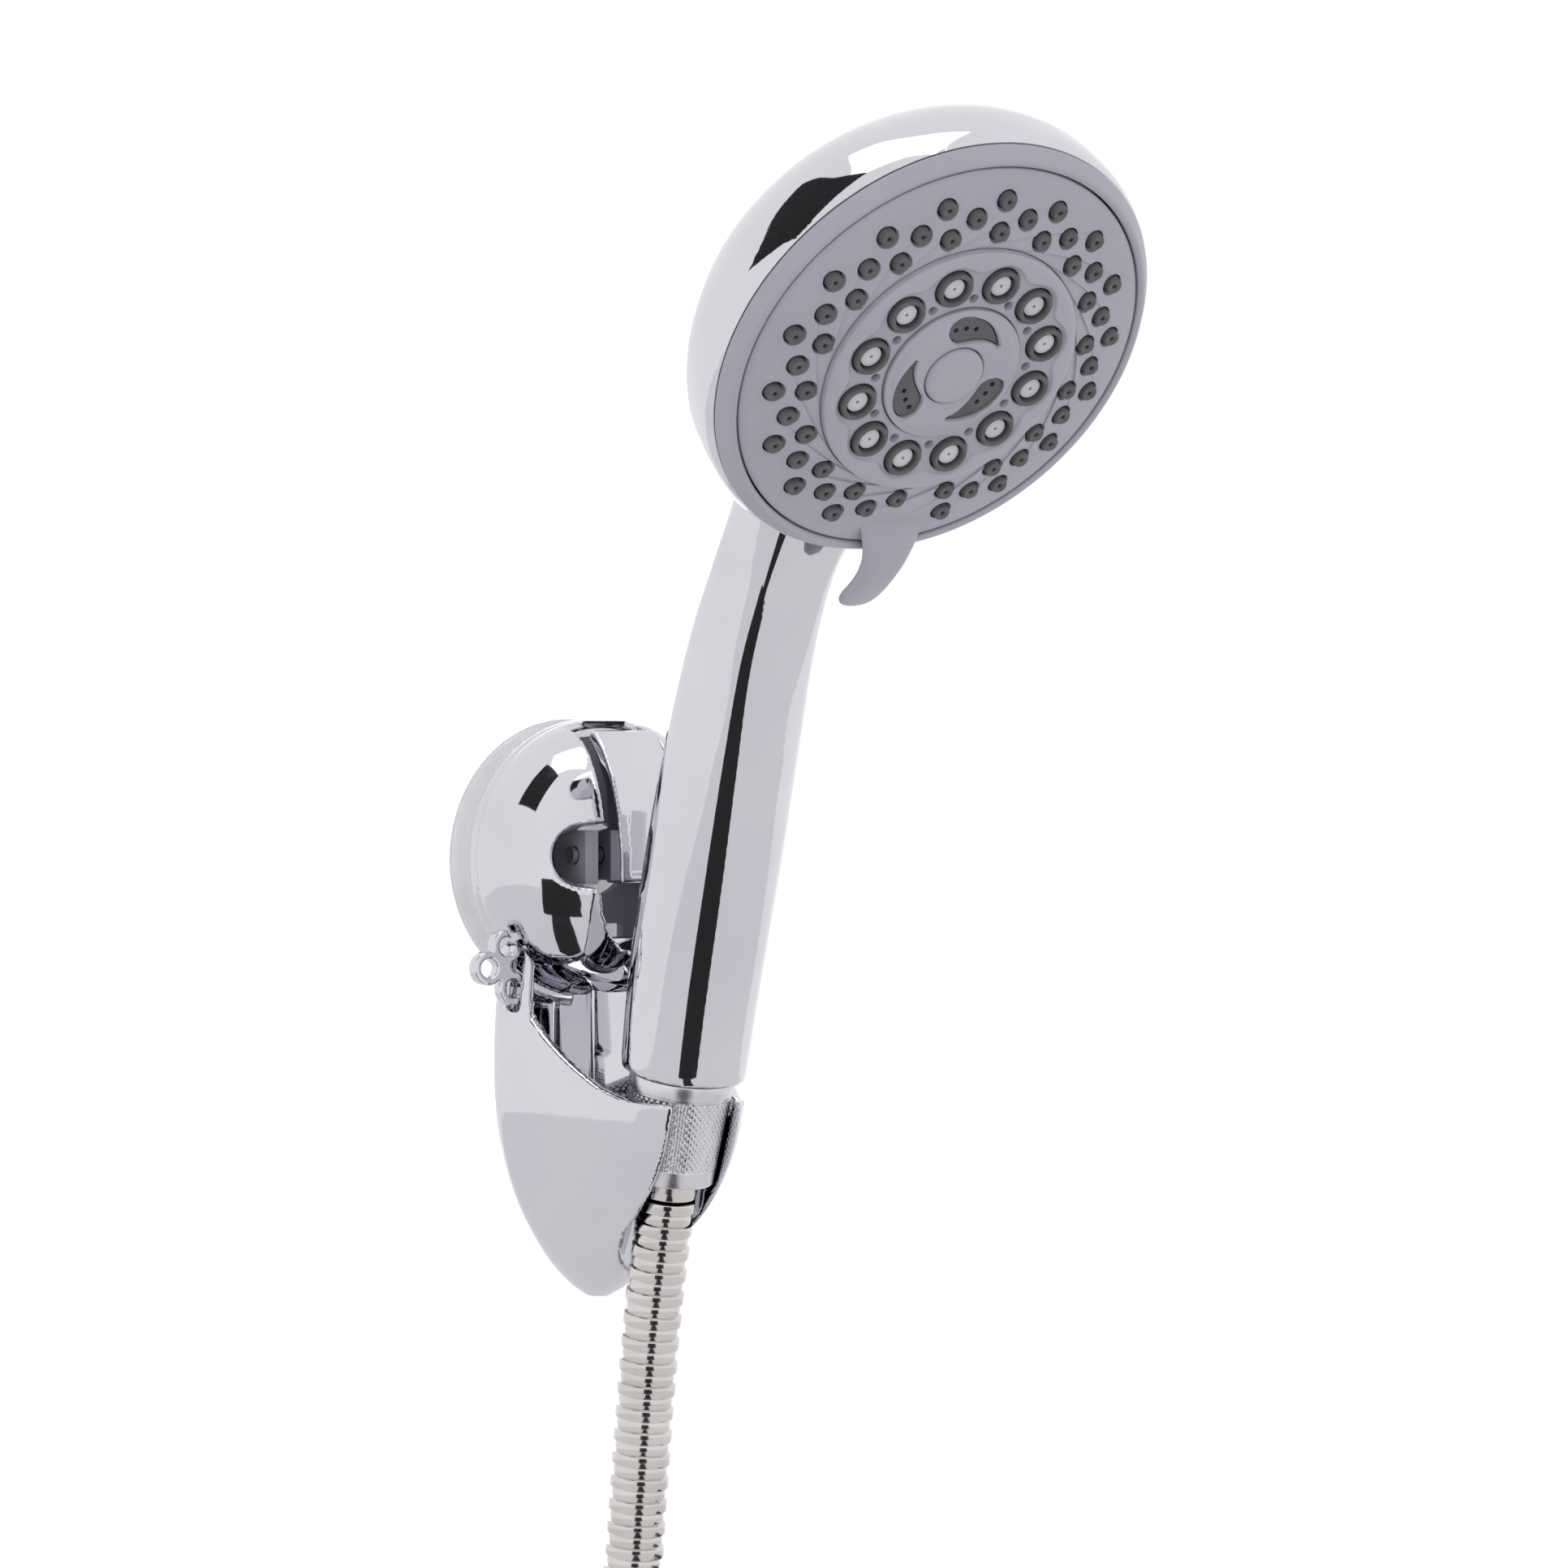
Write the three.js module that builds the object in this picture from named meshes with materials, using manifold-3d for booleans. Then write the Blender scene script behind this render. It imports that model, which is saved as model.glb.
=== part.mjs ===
// Hand shower on a suction-lock wall bracket, in millimetres.
// +Z is up, the wall is the plane y = 0 and the object stands off it towards -y.
// The origin is the centre of the suction cup's flat back.
import * as THREE from "three";
import { mergeVertices } from "three/addons/utils/BufferGeometryUtils.js";
import Module from "manifold-3d";

const wasm = await Module();
wasm.setup();

// Driving dimensions
const GAP = 0.3; // clearance between neighbouring pieces
const DEG = Math.PI / 180;

const CUP_RADIUS = 34.2;
const DOME_RADIUS = 34.2;
const DOME_REACH = 38; // from the wall to the front of the dome
const DOME_FOOT = 9; // the dome's rim stands this far off the wall
const DOME_WALL = 2.4;
const LEVER_HALF = 8.6; // half the suction lever's width
const AXLE_OUT = 25; // lever axle: distance from the wall
const AXLE_UP = 1; // and height above the cup's centre
const AXLE_BORE = 2.3;
const LUG_OUT = 20; // the peel lug's distance from the wall
const NECK_HALF = 7; // the neck that carries the cradle: half width,
const NECK_NEAR = 12; // nearest and
const NECK_FAR = 22; // farthest distance from the wall
const CRADLE_WALL = 2.6;

const HANDLE_LEAN = 13; // degrees that the nut's axis leans out from the wall
const HANDLE_OUT = 51.5; // bottom of the handle: distance from the wall
const HANDLE_DOWN = -50; // and height
const FACE_REACH = 70; // spray face centre, ahead of the nut's axis
const FACE_RISE = 179.6; // and along it
const FACE_TURN = 115.1; // degrees from the nut's axis to the way the spray points

const PLATE_RADIUS = 49.9; // turning face plate
const HEAD_RADIUS = 55.6; // plated head shell
const MID_RADIUS = 31.4; // massage ring cover
const CENTRE_RADIUS = 16.9; // centre disc
const MASSAGE_CIRCLE = 23.4; // pitch circle of the massage nozzles
const MASSAGE_COUNT = 12;
const NOZZLE_CIRCLES = [36, 39.7, 43.4];
const NOZZLE_COUNT = 18; // on each circle
const TAB_TURN = 7; // degrees that the tab stands off the handle's side of the face

const HOSE_RADIUS = 7;
const COIL_RADIUS = 70;
const COIL_X = 52;
const COIL_Z = -264;
const COIL_FIRST = 16; // distance from the wall of the first turn
const COIL_PITCH = 14.4;
const COIL_TURN = 1050; // degrees wound
const TAIL_START = 45.4; // the tail clears the coil here
const TAIL_LENGTH = 60;

// Route of the hose down to its coil: [x, distance from the wall, z]
const HOSE_ROUTE = [
  [0, 44.35, -80.98],
  [0, 42.1, -90.7],
  [0, 39.9, -100.5],
  [0, 37.9, -111],
  [0, 36.1, -122],
  [0, 34.5, -133],
  [0, 32.9, -145],
  [0, 31.3, -157],
  [0, 29.6, -170],
  [-0.9, 27.9, -183],
  [-3.6, 26, -195],
  [-7, 24.2, -205],
];

// Frames: the wall frame's z points out of the wall and its y points up
const inRadians = (degrees) => degrees * DEG;
const WALL_TURN = inRadians(90);
const wallFrame = new THREE.Matrix4().makeRotationX(WALL_TURN);
const handsetFrame = new THREE.Matrix4()
  .makeRotationX(inRadians(HANDLE_LEAN))
  .setPosition(0, -HANDLE_OUT, HANDLE_DOWN);
const faceInHandset = new THREE.Matrix4()
  .makeRotationX(inRadians(FACE_TURN))
  .setPosition(0, -FACE_REACH, FACE_RISE);

// Solid helpers
function solid(geometry) {
  const bare = new THREE.BufferGeometry();
  bare.setAttribute("position", geometry.getAttribute("position").clone());
  if (geometry.index) bare.setIndex(geometry.index.clone());
  const merged = mergeVertices(bare, 1e-4);
  const points = new Float32Array(merged.attributes.position.array);
  const faces = new Uint32Array(merged.index.array);
  const build = (triVerts) =>
    new wasm.Manifold(new wasm.Mesh({ numProp: 3, vertProperties: points, triVerts }));
  const made = build(faces);
  return made.volume() >= 0 ? made : build(faces.toReversed());
}

function geometryOf(body) {
  const mesh = body.getMesh();
  const count = mesh.numVert;
  const points = new Float32Array(count * 3);
  for (let i = 0; i < count; i += 1) {
    points.set(mesh.vertProperties.subarray(i * mesh.numProp, i * mesh.numProp + 3), i * 3);
  }
  const geometry = new THREE.BufferGeometry();
  geometry.setAttribute("position", new THREE.BufferAttribute(points, 3));
  geometry.setIndex(new THREE.BufferAttribute(new Uint32Array(mesh.triVerts), 1));
  geometry.computeVertexNormals();
  return geometry;
}

const addAll = (bodies) => bodies.reduce((whole, body) => whole.add(body));
const cutAll = (body, tools) => tools.reduce((left, tool) => left.subtract(tool), body);

// A [radius, z] outline turned about z
function turned(profile, segments = 36) {
  const points = profile.map(([radius, z]) => new THREE.Vector2(radius, z));
  const closed = profile[0][0] === 0 ? points : [...points, points[0].clone()];
  return new THREE.LatheGeometry(closed, segments).rotateX(inRadians(90));
}

function rod(radius, low, high, segments = 12, x = 0, y = 0) {
  return new THREE.CylinderGeometry(radius, radius, high - low, segments)
    .rotateX(inRadians(90))
    .translate(x, y, (low + high) / 2);
}

function box(low, high) {
  const size = high.map((value, axis) => value - low[axis]);
  const middle = high.map((value, axis) => (value + low[axis]) / 2);
  return new THREE.BoxGeometry(...size).translate(...middle);
}

// Rings of points with equal counts, skinned and capped
function skinned(rings) {
  const count = rings[0].length;
  const points = rings.flat();
  const faces = [];
  for (let ring = 0; ring + 1 < rings.length; ring += 1) {
    for (let i = 0; i < count; i += 1) {
      const next = (i + 1) % count;
      const low = ring * count;
      const high = low + count;
      faces.push(low + i, low + next, high + next, low + i, high + next, high + i);
    }
  }
  const centre = (ring) =>
    ring.reduce((sum, point) => sum.add(point), new THREE.Vector3()).divideScalar(count);
  points.push(centre(rings[0]), centre(rings.at(-1)));
  const top = (rings.length - 1) * count;
  for (let i = 0; i < count; i += 1) {
    const next = (i + 1) % count;
    faces.push(points.length - 2, next, i, points.length - 1, top + i, top + next);
  }
  const geometry = new THREE.BufferGeometry().setFromPoints(points);
  return geometry.setIndex(faces);
}

// Elliptical sections along a path in the y-z plane: [forward, up, half width, half depth]
function limb(stations, sides) {
  const path = stations.map(([forward, up]) => new THREE.Vector3(0, -forward, up));
  return skinned(
    stations.map(([, , halfWidth, halfDepth], i) => {
      const before = path[Math.max(i - 1, 0)];
      const after = path[Math.min(i + 1, path.length - 1)];
      const along = i === 0 ? new THREE.Vector3(0, 0, 1) : after.clone().sub(before).normalize();
      const across = new THREE.Vector3(0, -along.z, along.y);
      return Array.from({ length: sides }, (_, side) => {
        const angle = (side / sides) * 2 * Math.PI;
        return path[i]
          .clone()
          .addScaledVector(across, halfDepth * Math.sin(angle))
          .add(new THREE.Vector3(-halfWidth * Math.cos(angle), 0, 0));
      });
    }),
  );
}

// A round section swept along points, with an optional bore
function swept(points, radius, sides, steps, bore = 0) {
  const ring = (size) =>
    Array.from({ length: sides }, (_, i) => {
      const angle = (i / sides) * 2 * Math.PI;
      return new THREE.Vector2(size * Math.cos(angle), size * Math.sin(angle));
    });
  const section = new THREE.Shape(ring(radius));
  if (bore) section.holes.push(new THREE.Path(ring(bore)));
  const extrudePath = new THREE.CatmullRomCurve3(points, false, "centripetal");
  return new THREE.ExtrudeGeometry(section, { steps, extrudePath, curveSegments: 1 });
}

// An outline in the wall's [distance out, height] plane, spread to both sides of x = 0
function slab(outline, halfWidth) {
  const shape = new THREE.Shape(outline.map(([out, up]) => new THREE.Vector2(out, up)));
  const geometry = new THREE.ExtrudeGeometry(shape, { depth: 2 * halfWidth, bevelEnabled: false });
  const toWorld = new THREE.Matrix4().set(0, 0, 1, -halfWidth, -1, 0, 0, 0, 0, 1, 0, 0, 0, 0, 0, 1);
  return geometry.applyMatrix4(toWorld);
}

const onCircle = (radius, degrees) => [
  radius * Math.cos(inRadians(degrees)),
  radius * Math.sin(inRadians(degrees)),
];

// Materials
const finish = (color, roughness, metalness) =>
  new THREE.MeshStandardMaterial({ color, roughness, metalness });
const chrome = finish(0xd9dbe2, 0.06, 1);
const satin = finish(0xb9bac0, 0.34, 1);
const steel = finish(0xcbc4c1, 0.2, 1);
const brass = finish(0xb79a55, 0.35, 1);
const greyPlastic = finish(0xb4b5c2, 0.38, 0);
const whitePlastic = finish(0xdcdce2, 0.35, 0);
const darkRubber = finish(0x55565c, 0.6, 0);
const blackRubber = finish(0x1d1d20, 0.7, 0);
const clearVinyl = finish(0xd6d3dc, 0.12, 0);

const object = new THREE.Group();
const wall = new THREE.Group();
wall.applyMatrix4(wallFrame);
const handset = new THREE.Group();
handset.applyMatrix4(handsetFrame);
const face = new THREE.Group();
face.applyMatrix4(faceInHandset);
handset.add(face);
object.add(wall, handset);

function place(group, name, shape, material) {
  const body = shape.isBufferGeometry ? solid(shape) : shape;
  const mesh = new THREE.Mesh(geometryOf(body), material);
  mesh.name = name;
  group.add(mesh);
  return body;
}

// Wall bracket: suction cup, dome, lever and stud
function makeSuctionCup() {
  const profile = [
    [0, 0], [CUP_RADIUS, 0], [CUP_RADIUS, 1.2], [30, 3.4], [14, 7.4], [8.4, 9.4], [6.4, 9.4],
    [6.4, 2.3], [0, 2.3],
  ];
  place(wall, "suction_cup", turned(profile, 36), clearVinyl);
}

const DOME_PROFILE = [
  [DOME_RADIUS, DOME_FOOT], [34.3, 14], [33.6, 20], [31, 25.6], [27, 29.6], [20, 33.6],
  [10, 36.9], [0, DOME_REACH],
];

function domeShell() {
  const inner = DOME_PROFILE.map(([radius, out], i) => [
    Math.max(radius - DOME_WALL, 0),
    i === 0 ? out : out - (DOME_WALL * i) / (DOME_PROFILE.length - 1),
  ]);
  const outline = [...DOME_PROFILE, ...inner.reverse()];
  return solid(turned(outline, 36));
}

function makeDome() {
  const lever = box([-LEVER_HALF - 0.8, -9, 16], [LEVER_HALF + 0.8, 33, 45]);
  const ears = new THREE.CapsuleGeometry(8, 36, 3, 12).rotateZ(inRadians(90)).translate(0, 0, 36);
  const lowerPocket = new THREE.CylinderGeometry(13, 13, 20, 16)
    .rotateX(inRadians(90))
    .translate(0, -12, 38);
  const neckRoom = box(
    [-NECK_HALF - GAP, -50, NECK_NEAR - GAP],
    [NECK_HALF + GAP, -16, NECK_FAR + GAP],
  );
  const shell = cutAll(domeShell(), [lever, ears, lowerPocket, neckRoom].map(solid));
  place(wall, "base_dome", shell, chrome);
}

// Inner frame with the two cheeks that carry the lever's axle
function makeBaseFrame() {
  const ring = solid(turned([[9, 10.2], [30, 10.2], [30, 12.8], [9, 12.8]], 32));
  const cheek = (side) => {
    const x = side * 12.2;
    return solid(box([x - 1.8, -6, 12], [x + 1.8, 7, 30]));
  };
  const bore = new THREE.CylinderGeometry(AXLE_BORE, AXLE_BORE, 60, 12)
    .rotateZ(inRadians(90))
    .translate(0, AXLE_UP, AXLE_OUT);
  const neckRoom = solid(box([-NECK_HALF - 2 * GAP, -40, 8], [NECK_HALF + 2 * GAP, -16, 20]));
  const body = addAll([ring, cheek(-1), cheek(1)]);
  place(wall, "base_frame", cutAll(body, [solid(bore), neckRoom]), greyPlastic);
  const pin = new THREE.CylinderGeometry(AXLE_BORE - GAP, AXLE_BORE - GAP, 31, 12)
    .rotateZ(inRadians(90))
    .translate(0, AXLE_UP, AXLE_OUT);
  place(wall, "lever_axle", pin, steel);
}

function makeLever() {
  const outline = [
    [37.8, -5.5], [37.7, 2], [36.4, 10.5], [33.2, 20], [29.2, 26.8], [25.4, 31], [22.6, 29],
    [26.4, 24.8], [30, 18], [31.6, 9], [30.6, -2], [31, -5.5],
  ];
  const tongue = solid(slab(outline, LEVER_HALF));
  const toWorld = new THREE.Matrix4().makeTranslation(0, -AXLE_OUT, AXLE_UP);
  const across = (radius, half) =>
    solid(
      new THREE.CylinderGeometry(radius, radius, 2 * half, 20)
        .rotateZ(inRadians(90))
        .applyMatrix4(toWorld),
    );
  const web = solid(slab([[24, -5], [33, -5], [33, 8], [24, 6.5]], LEVER_HALF));
  const fork = solid(slab([[10, -8], [22.5, -8], [30, 0], [22.5, 12], [10, 12]], 3.4));
  const body = cutAll(addAll([tongue, web, across(6, LEVER_HALF)]), [across(AXLE_BORE, 20), fork]);
  place(object, "suction_lever", body, chrome);
}

// Stud that the lever pulls out of the wall, moulded into the cup on the real bracket
function makeStud() {
  const stem = solid(turned([[0, 5.2], [6, 5.2], [6, 8], [2.8, 8.6], [2.8, 16], [0, 16]], 16));
  place(wall, "pull_stud", stem, whitePlastic);
}

function makeLug() {
  const lobes = [[-35.8, -26], [-30.6, -20.8], [-28.8, -31]];
  const centre = [-32, -26];
  const bars = lobes.map(([x, y]) => {
    const bar = new THREE.BoxGeometry(Math.hypot(x - centre[0], y - centre[1]) + 0.1, 4.6, 3);
    bar.rotateZ(Math.atan2(y - centre[1], x - centre[0]));
    return solid(bar.translate((x + centre[0]) / 2, (y + centre[1]) / 2, LUG_OUT));
  });
  const loops = lobes.map(([x, y]) => solid(rod(4.1, LUG_OUT - 1.5, LUG_OUT + 1.5, 16, x, y)));
  const holes = lobes.map(([x, y]) => solid(rod(2.2, LUG_OUT - 5, LUG_OUT + 5, 12, x, y)));
  const clear = solid(rod(DOME_RADIUS + 0.4 + GAP, 0, 60, 48));
  place(wall, "peel_lug", cutAll(addAll([...loops, ...bars]), [...holes, clear]), chrome);
}

// Cradle: boat-shaped shell that carries the nut's conical socket
// [height, back half width, back half depth, back centre, front radius, front centre]
const CRADLE_STATIONS = [
  [-107, 2.5, 2.5, 13.5, 1.5, 15],
  [-104, 7, 6, 14, 4, 19],
  [-99, 12.6, 9.5, 15, 7, 24.5],
  [-92, 18, 11.5, 15.5, 10.5, 31.5],
  [-82, 23.8, 13, 16, 13.4, 40],
  [-70, 27.8, 13.8, 16, 15.6, 45.5],
  [-57, 30, 14, 16, 16.2, 49],
  [-40, 30, 14, 16, 16.2, 53],
  [-18, 28, 14, 16, 15, 56],
];

// Convex section round a rear ellipse and a front circle, shrunk by inset
function cradleRing([height, half, depth, back, front, ahead], inset, sides) {
  return Array.from({ length: sides }, (_, i) => {
    const angle = (i / sides) * 2 * Math.PI;
    const [c, s] = [Math.cos(angle), Math.sin(angle)];
    const [w, q, r] = [half, depth, front].map((size) => Math.max(size - inset, 0.5));
    const rear = Math.hypot(w * c, q * s);
    const onRear = [(w * w * c) / rear, back + (q * q * s) / rear];
    const onFront = [r * c, ahead + r * s];
    const [x, out] = rear + back * s > r + ahead * s ? onRear : onFront;
    return new THREE.Vector3(x, -out, height);
  });
}

function cradleLoft(inset, stations) {
  return solid(skinned(stations.map((station) => cradleRing(station, inset, 32))));
}

function makeCradle() {
  const outer = cradleLoft(0, CRADLE_STATIONS);
  const hollowFloor = [-60, 29.5, 14, 16, 16.1, 48.3];
  const hollow = cradleLoft(CRADLE_WALL, [hollowFloor, ...CRADLE_STATIONS.slice(6)]);
  const scoop = solid(
    slab([[24, -10], [24, -34], [27, -40], [33, -46], [40, -51.5], [46, -55], [57, -57.5],
      [90, -58], [90, -10]], 60),
  );
  const domeRoom = solid(rod(DOME_RADIUS + GAP, -5, 70, 48).applyMatrix4(wallFrame));
  const socketProfile = [
    [0, 6], [13.6, 6], [13.4, -1], [13.1, -4], [11.2, -27.4], [9.4, -27.4], [9.4, -60], [0, -60],
  ];
  const socket = solid(turned(socketProfile, 32).applyMatrix4(handsetFrame));
  const slot = solid(box([-9.2, -80, -62], [9.2, 0, 10]).applyMatrix4(handsetFrame));
  const neck = solid(box([-NECK_HALF, -NECK_FAR, -47], [NECK_HALF, -NECK_NEAR, -19]));
  const root = solid(box([-NECK_HALF, -NECK_FAR, -60.5], [NECK_HALF, -5, -35.2]));
  const rootInside = root.intersect(outer);
  const shell = cutAll(outer, [hollow, scoop]).add(rootInside).subtract(domeRoom);
  const lugRoom = solid(
    box([-42, -LUG_OUT - 1.5 - GAP, -36.5], [-22, -LUG_OUT + 1.5 + GAP, -15]),
  );
  const body = cutAll(shell, [socket, slot, lugRoom]).add(neck);
  place(object, "cradle", body, chrome);
}

// Handset: plated shell
const HANDLE_STATIONS = [
  [0, 0, 15, 15], [-0.2, 23.5, 15.8, 15.8], [1.2, 53.8, 16.1, 16.1], [3, 79.7, 15.6, 15.6],
  [5.6, 103.7, 14.6, 14.4], [9.8, 121.5, 13.9, 13.4], [14, 133.3, 14.4, 13],
  [20, 145, 17, 13], [28, 156, 21, 12], [38, 166, 24, 10],
];
const WATERWAY = [
  [0, 8], [0.6, 30], [1.4, 54], [3.2, 80], [6, 104], [10.5, 122], [15.5, 135], [21, 145],
];

function makeHandsetShell() {
  const outside = [
    [52, -9.3], [54.3, -9.3], [55.2, -11.5], [HEAD_RADIUS, -15.5], [54.9, -22], [52, -28.5],
    [47, -34.5], [39, -40.3], [28, -44.6], [15, -47.4], [0, -48.3],
  ];
  const inside = [
    [0, -8], [52, -8], [52, -12], [52.4, -21.5], [49.6, -27], [45, -32.2], [37.5, -37.8],
    [27, -42], [15, -44.7], [0, -45.4],
  ];
  const head = solid(turned([[0, -9.3], ...outside], 32).applyMatrix4(faceInHandset));
  const cavity = solid(turned(inside, 32).applyMatrix4(faceInHandset));
  const handle = solid(limb(HANDLE_STATIONS, 18));
  const front = solid(box([-80, -80, -8.9], [80, 80, 60]).applyMatrix4(faceInHandset));
  const path = WATERWAY.map(([forward, up]) => new THREE.Vector3(0, -forward, up));
  const bore = solid(swept([...path, new THREE.Vector3(0, -30, 158)], 8.6, 10, 9));
  const entry = solid(rod(10.7, -1, 9, 24));
  const body = cutAll(head.add(handle), [cavity, front, bore, entry]);
  place(handset, "handset_shell", body, chrome);
  place(handset, "handle_waterway", swept(path, 6.8, 8, 8, 5), whitePlastic);
}

function makeInlet() {
  const stub = [[6.5, -11], [10.3, -11], [10.3, 7.6], [6.5, 7.6]];
  place(handset, "inlet_thread", turned(stub, 20), brass);
  const filter = [[0, -7.2], [5.4, -7.2], [6.1, -10.6], [5.5, -10.6], [4.9, -7.8], [0, -7.8]];
  place(handset, "inlet_filter", turned(filter, 20), steel);
  const restrictor = [[1.4, -5.6], [6.1, -5.6], [6.1, -2.4], [1.4, -2.4]];
  place(handset, "flow_restrictor", turned(restrictor, 20), greyPlastic);
  const washer = [[5.4, -13.4], [9.8, -13.4], [9.8, -11.3], [5.4, -11.3]];
  place(handset, "hose_washer", turned(washer, 20), blackRubber);
}

function makeNut() {
  const nut = [
    [10.7, -1.2], [12.7, -1.2], [12.7, -3.4], [12.4, -3.6], [10.8, -25], [10.5, -27],
    [7.5, -27], [7.5, -16.9], [10.3, -16.7],
  ];
  place(handset, "hose_nut", turned(nut, 24), satin);
}

// Spray face, from the shell inwards
const surfaceAt = (radius) => -2 - (Math.max(radius - 32, 0) / 17.9) ** 1.35 * 3.6;

function makeBezel() {
  const ring = [
    [50.3, -5.7], [51.3, -5.3], [54.1, -8.6], [54, -9], [51.6, -9], [51.6, -16], [50.3, -16],
  ];
  place(face, "bezel_ring", turned(ring, 32), greyPlastic);
}

// Directions of the nozzles about the face's centre; the handle lies at -90 degrees
function nozzlePlaces() {
  const places = [];
  NOZZLE_CIRCLES.forEach((radius, circle) => {
    for (let i = 0; i < NOZZLE_COUNT; i += 1) {
      const offset = circle === 1 ? 13 : 3;
      const degrees = -90 + offset + (i * 360) / NOZZLE_COUNT;
      const underTab = i === 0 && circle > 0;
      if (!underTab) places.push(onCircle(radius, degrees));
    }
  });
  return places;
}

function makeFacePlate() {
  const top = [49.9, 43, 32].map((radius) => [radius, surfaceAt(radius)]);
  const under = [32, 47.4].map((radius) => [radius, surfaceAt(radius) - 2.2]);
  const plate = solid(turned([...top, ...under, [47.4, -14], [PLATE_RADIUS, -14]], 32));
  const tab = limb(
    [[44, -5, 9, 1.2], [50, -3.2, 7, 1.5], [55, -3.6, 5.6, 1.7], [60, -5.6, 5, 1.8],
      [64.4, -8.6, 4.7, 1.7], [68.4, -12.4, 3.6, 1.3]], 12).rotateZ(inRadians(TAB_TURN));
  const holes = nozzlePlaces().map(([x, y]) => solid(rod(2.55, -12, 2, 6, x, y)));
  place(face, "face_plate", cutAll(plate.add(solid(tab)), holes), greyPlastic);
}

function makeNozzleMat() {
  const web = [33.2, 46.8].map((radius) => [radius, surfaceAt(radius) - 2.5]);
  const under = web.map(([radius, z]) => [radius, z - 1.2]).reverse();
  const stubs = nozzlePlaces().map(([x, y]) => {
    const top = surfaceAt(Math.hypot(x, y)) + 1.3;
    return solid(rod(2.05, top - 4.3, top, 6, x, y));
  });
  const mat = addAll([solid(turned([...web, ...under], 32)), ...stubs]);
  place(face, "nozzle_mat", mat, darkRubber);
}

const massagePlaces = () =>
  Array.from({ length: MASSAGE_COUNT }, (_, i) => onCircle(MASSAGE_CIRCLE, -97.5 + i * 30));

function makeMidRing() {
  const cover = [
    [17.2, -0.1], [27, -0.1], [MID_RADIUS, -1.2], [31.7, -4.2], [30.2, -4.2], [29.4, -2.4],
    [17.2, -2.4],
  ];
  const cups = massagePlaces().map(([x, y]) => solid(rod(4.9, -8, 4, 8, x, y)));
  place(face, "mid_ring", cutAll(solid(turned(cover, 28)), cups), greyPlastic);

  const web = solid(turned([[18, -2.8], [28.8, -2.8], [28.8, -4], [18, -4]], 28));
  const sleeves = massagePlaces().map(([x, y]) => solid(rod(4.3, -3.6, 0.9, 8, x, y)));
  const bores = massagePlaces().map(([x, y]) => solid(rod(3, -9, 4, 8, x, y)));
  place(face, "massage_mat", cutAll(addAll([web, ...sleeves]), bores), darkRubber);

  const carrier = solid(turned([[18, -4.4], [28.8, -4.4], [28.8, -5.8], [18, -5.8]], 28));
  const pins = massagePlaces().map(([x, y]) => solid(rod(2.3, -5, 0.6, 8, x, y)));
  place(face, "massage_pins", addAll([carrier, ...pins]), whitePlastic);
}

// A comma: a round head that narrows to a tail along its circle
function commaOutline(start, inset) {
  const outer = [];
  const inner = [];
  const steps = 6;
  for (let i = 0; i <= steps; i += 1) {
    const t = i / steps;
    const degrees = start - 38 + 76 * t;
    const half = (0.5 + 3 * Math.sin((Math.PI / 2) * Math.min(t * 1.25, 1)) ** 1.4) *
      (t > 0.8 ? Math.sqrt(Math.max(1 - ((t - 0.8) / 0.22) ** 2, 0.02)) : 1) - inset;
    outer.push(new THREE.Vector2(...onCircle(11.8 + Math.max(half, 0.2), degrees)));
    inner.push(new THREE.Vector2(...onCircle(11.8 - Math.max(half, 0.2), degrees)));
  }
  return new THREE.Shape([...outer, ...inner.reverse()]);
}

function commaSolid(start, inset, low, high) {
  const depth = high - low;
  const options = { depth, bevelEnabled: false };
  return solid(new THREE.ExtrudeGeometry(commaOutline(start, inset), options).translate(0, 0, low));
}

function makeCentre() {
  const starts = [52, 172, 292].map((offset) => offset - 90);
  const disc = solid(
    turned([[7.4, 0.9], [15.6, 0.9], [CENTRE_RADIUS, 0.3], [CENTRE_RADIUS, -1.6], [7.4, -1.6]], 28),
  );
  const openings = starts.map((start) => commaSolid(start, 0, -3, 3));
  place(face, "centre_disc", cutAll(disc, openings), greyPlastic);

  const backing = solid(turned([[7.4, -1.9], [16.6, -1.9], [16.6, -3.6], [7.4, -3.6]], 24));
  const bosses = starts.map((start) => commaSolid(start, 0.35, -2.5, -0.7));
  place(face, "comma_insert", addAll([backing, ...bosses]), darkRubber);

  const cap = [[0, 2.3], [4.5, 2.1], [6.6, 1.5], [7, 0.8], [7, -1.2], [0, -1.2]];
  place(face, "centre_cap", turned(cap, 28), greyPlastic);
  const screw = [[0, -1.6], [3.5, -1.6], [3.5, -4], [1.9, -4.2], [1.9, -23], [0, -23]];
  place(face, "centre_screw", turned(screw, 16), steel);
}

// Works behind the face: turbine, chamber, diverter and manifold
function makeTurbine() {
  const hub = solid(turned([[8, -7], [10.4, -7], [10.4, -11.4], [8, -11.4]], 24));
  const shroud = solid(turned([[8, -10.4], [28, -10.4], [28, -11.4], [8, -11.4]], 24));
  const blades = Array.from({ length: 6 }, (_, i) =>
    solid(
      new THREE.BoxGeometry(18, 1, 4)
        .translate(18.2, 0, -9.2)
        .rotateZ(inRadians(i * 60)),
    ),
  );
  place(face, "massage_turbine", addAll([hub, shroud, ...blades]), whitePlastic);
}

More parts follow.
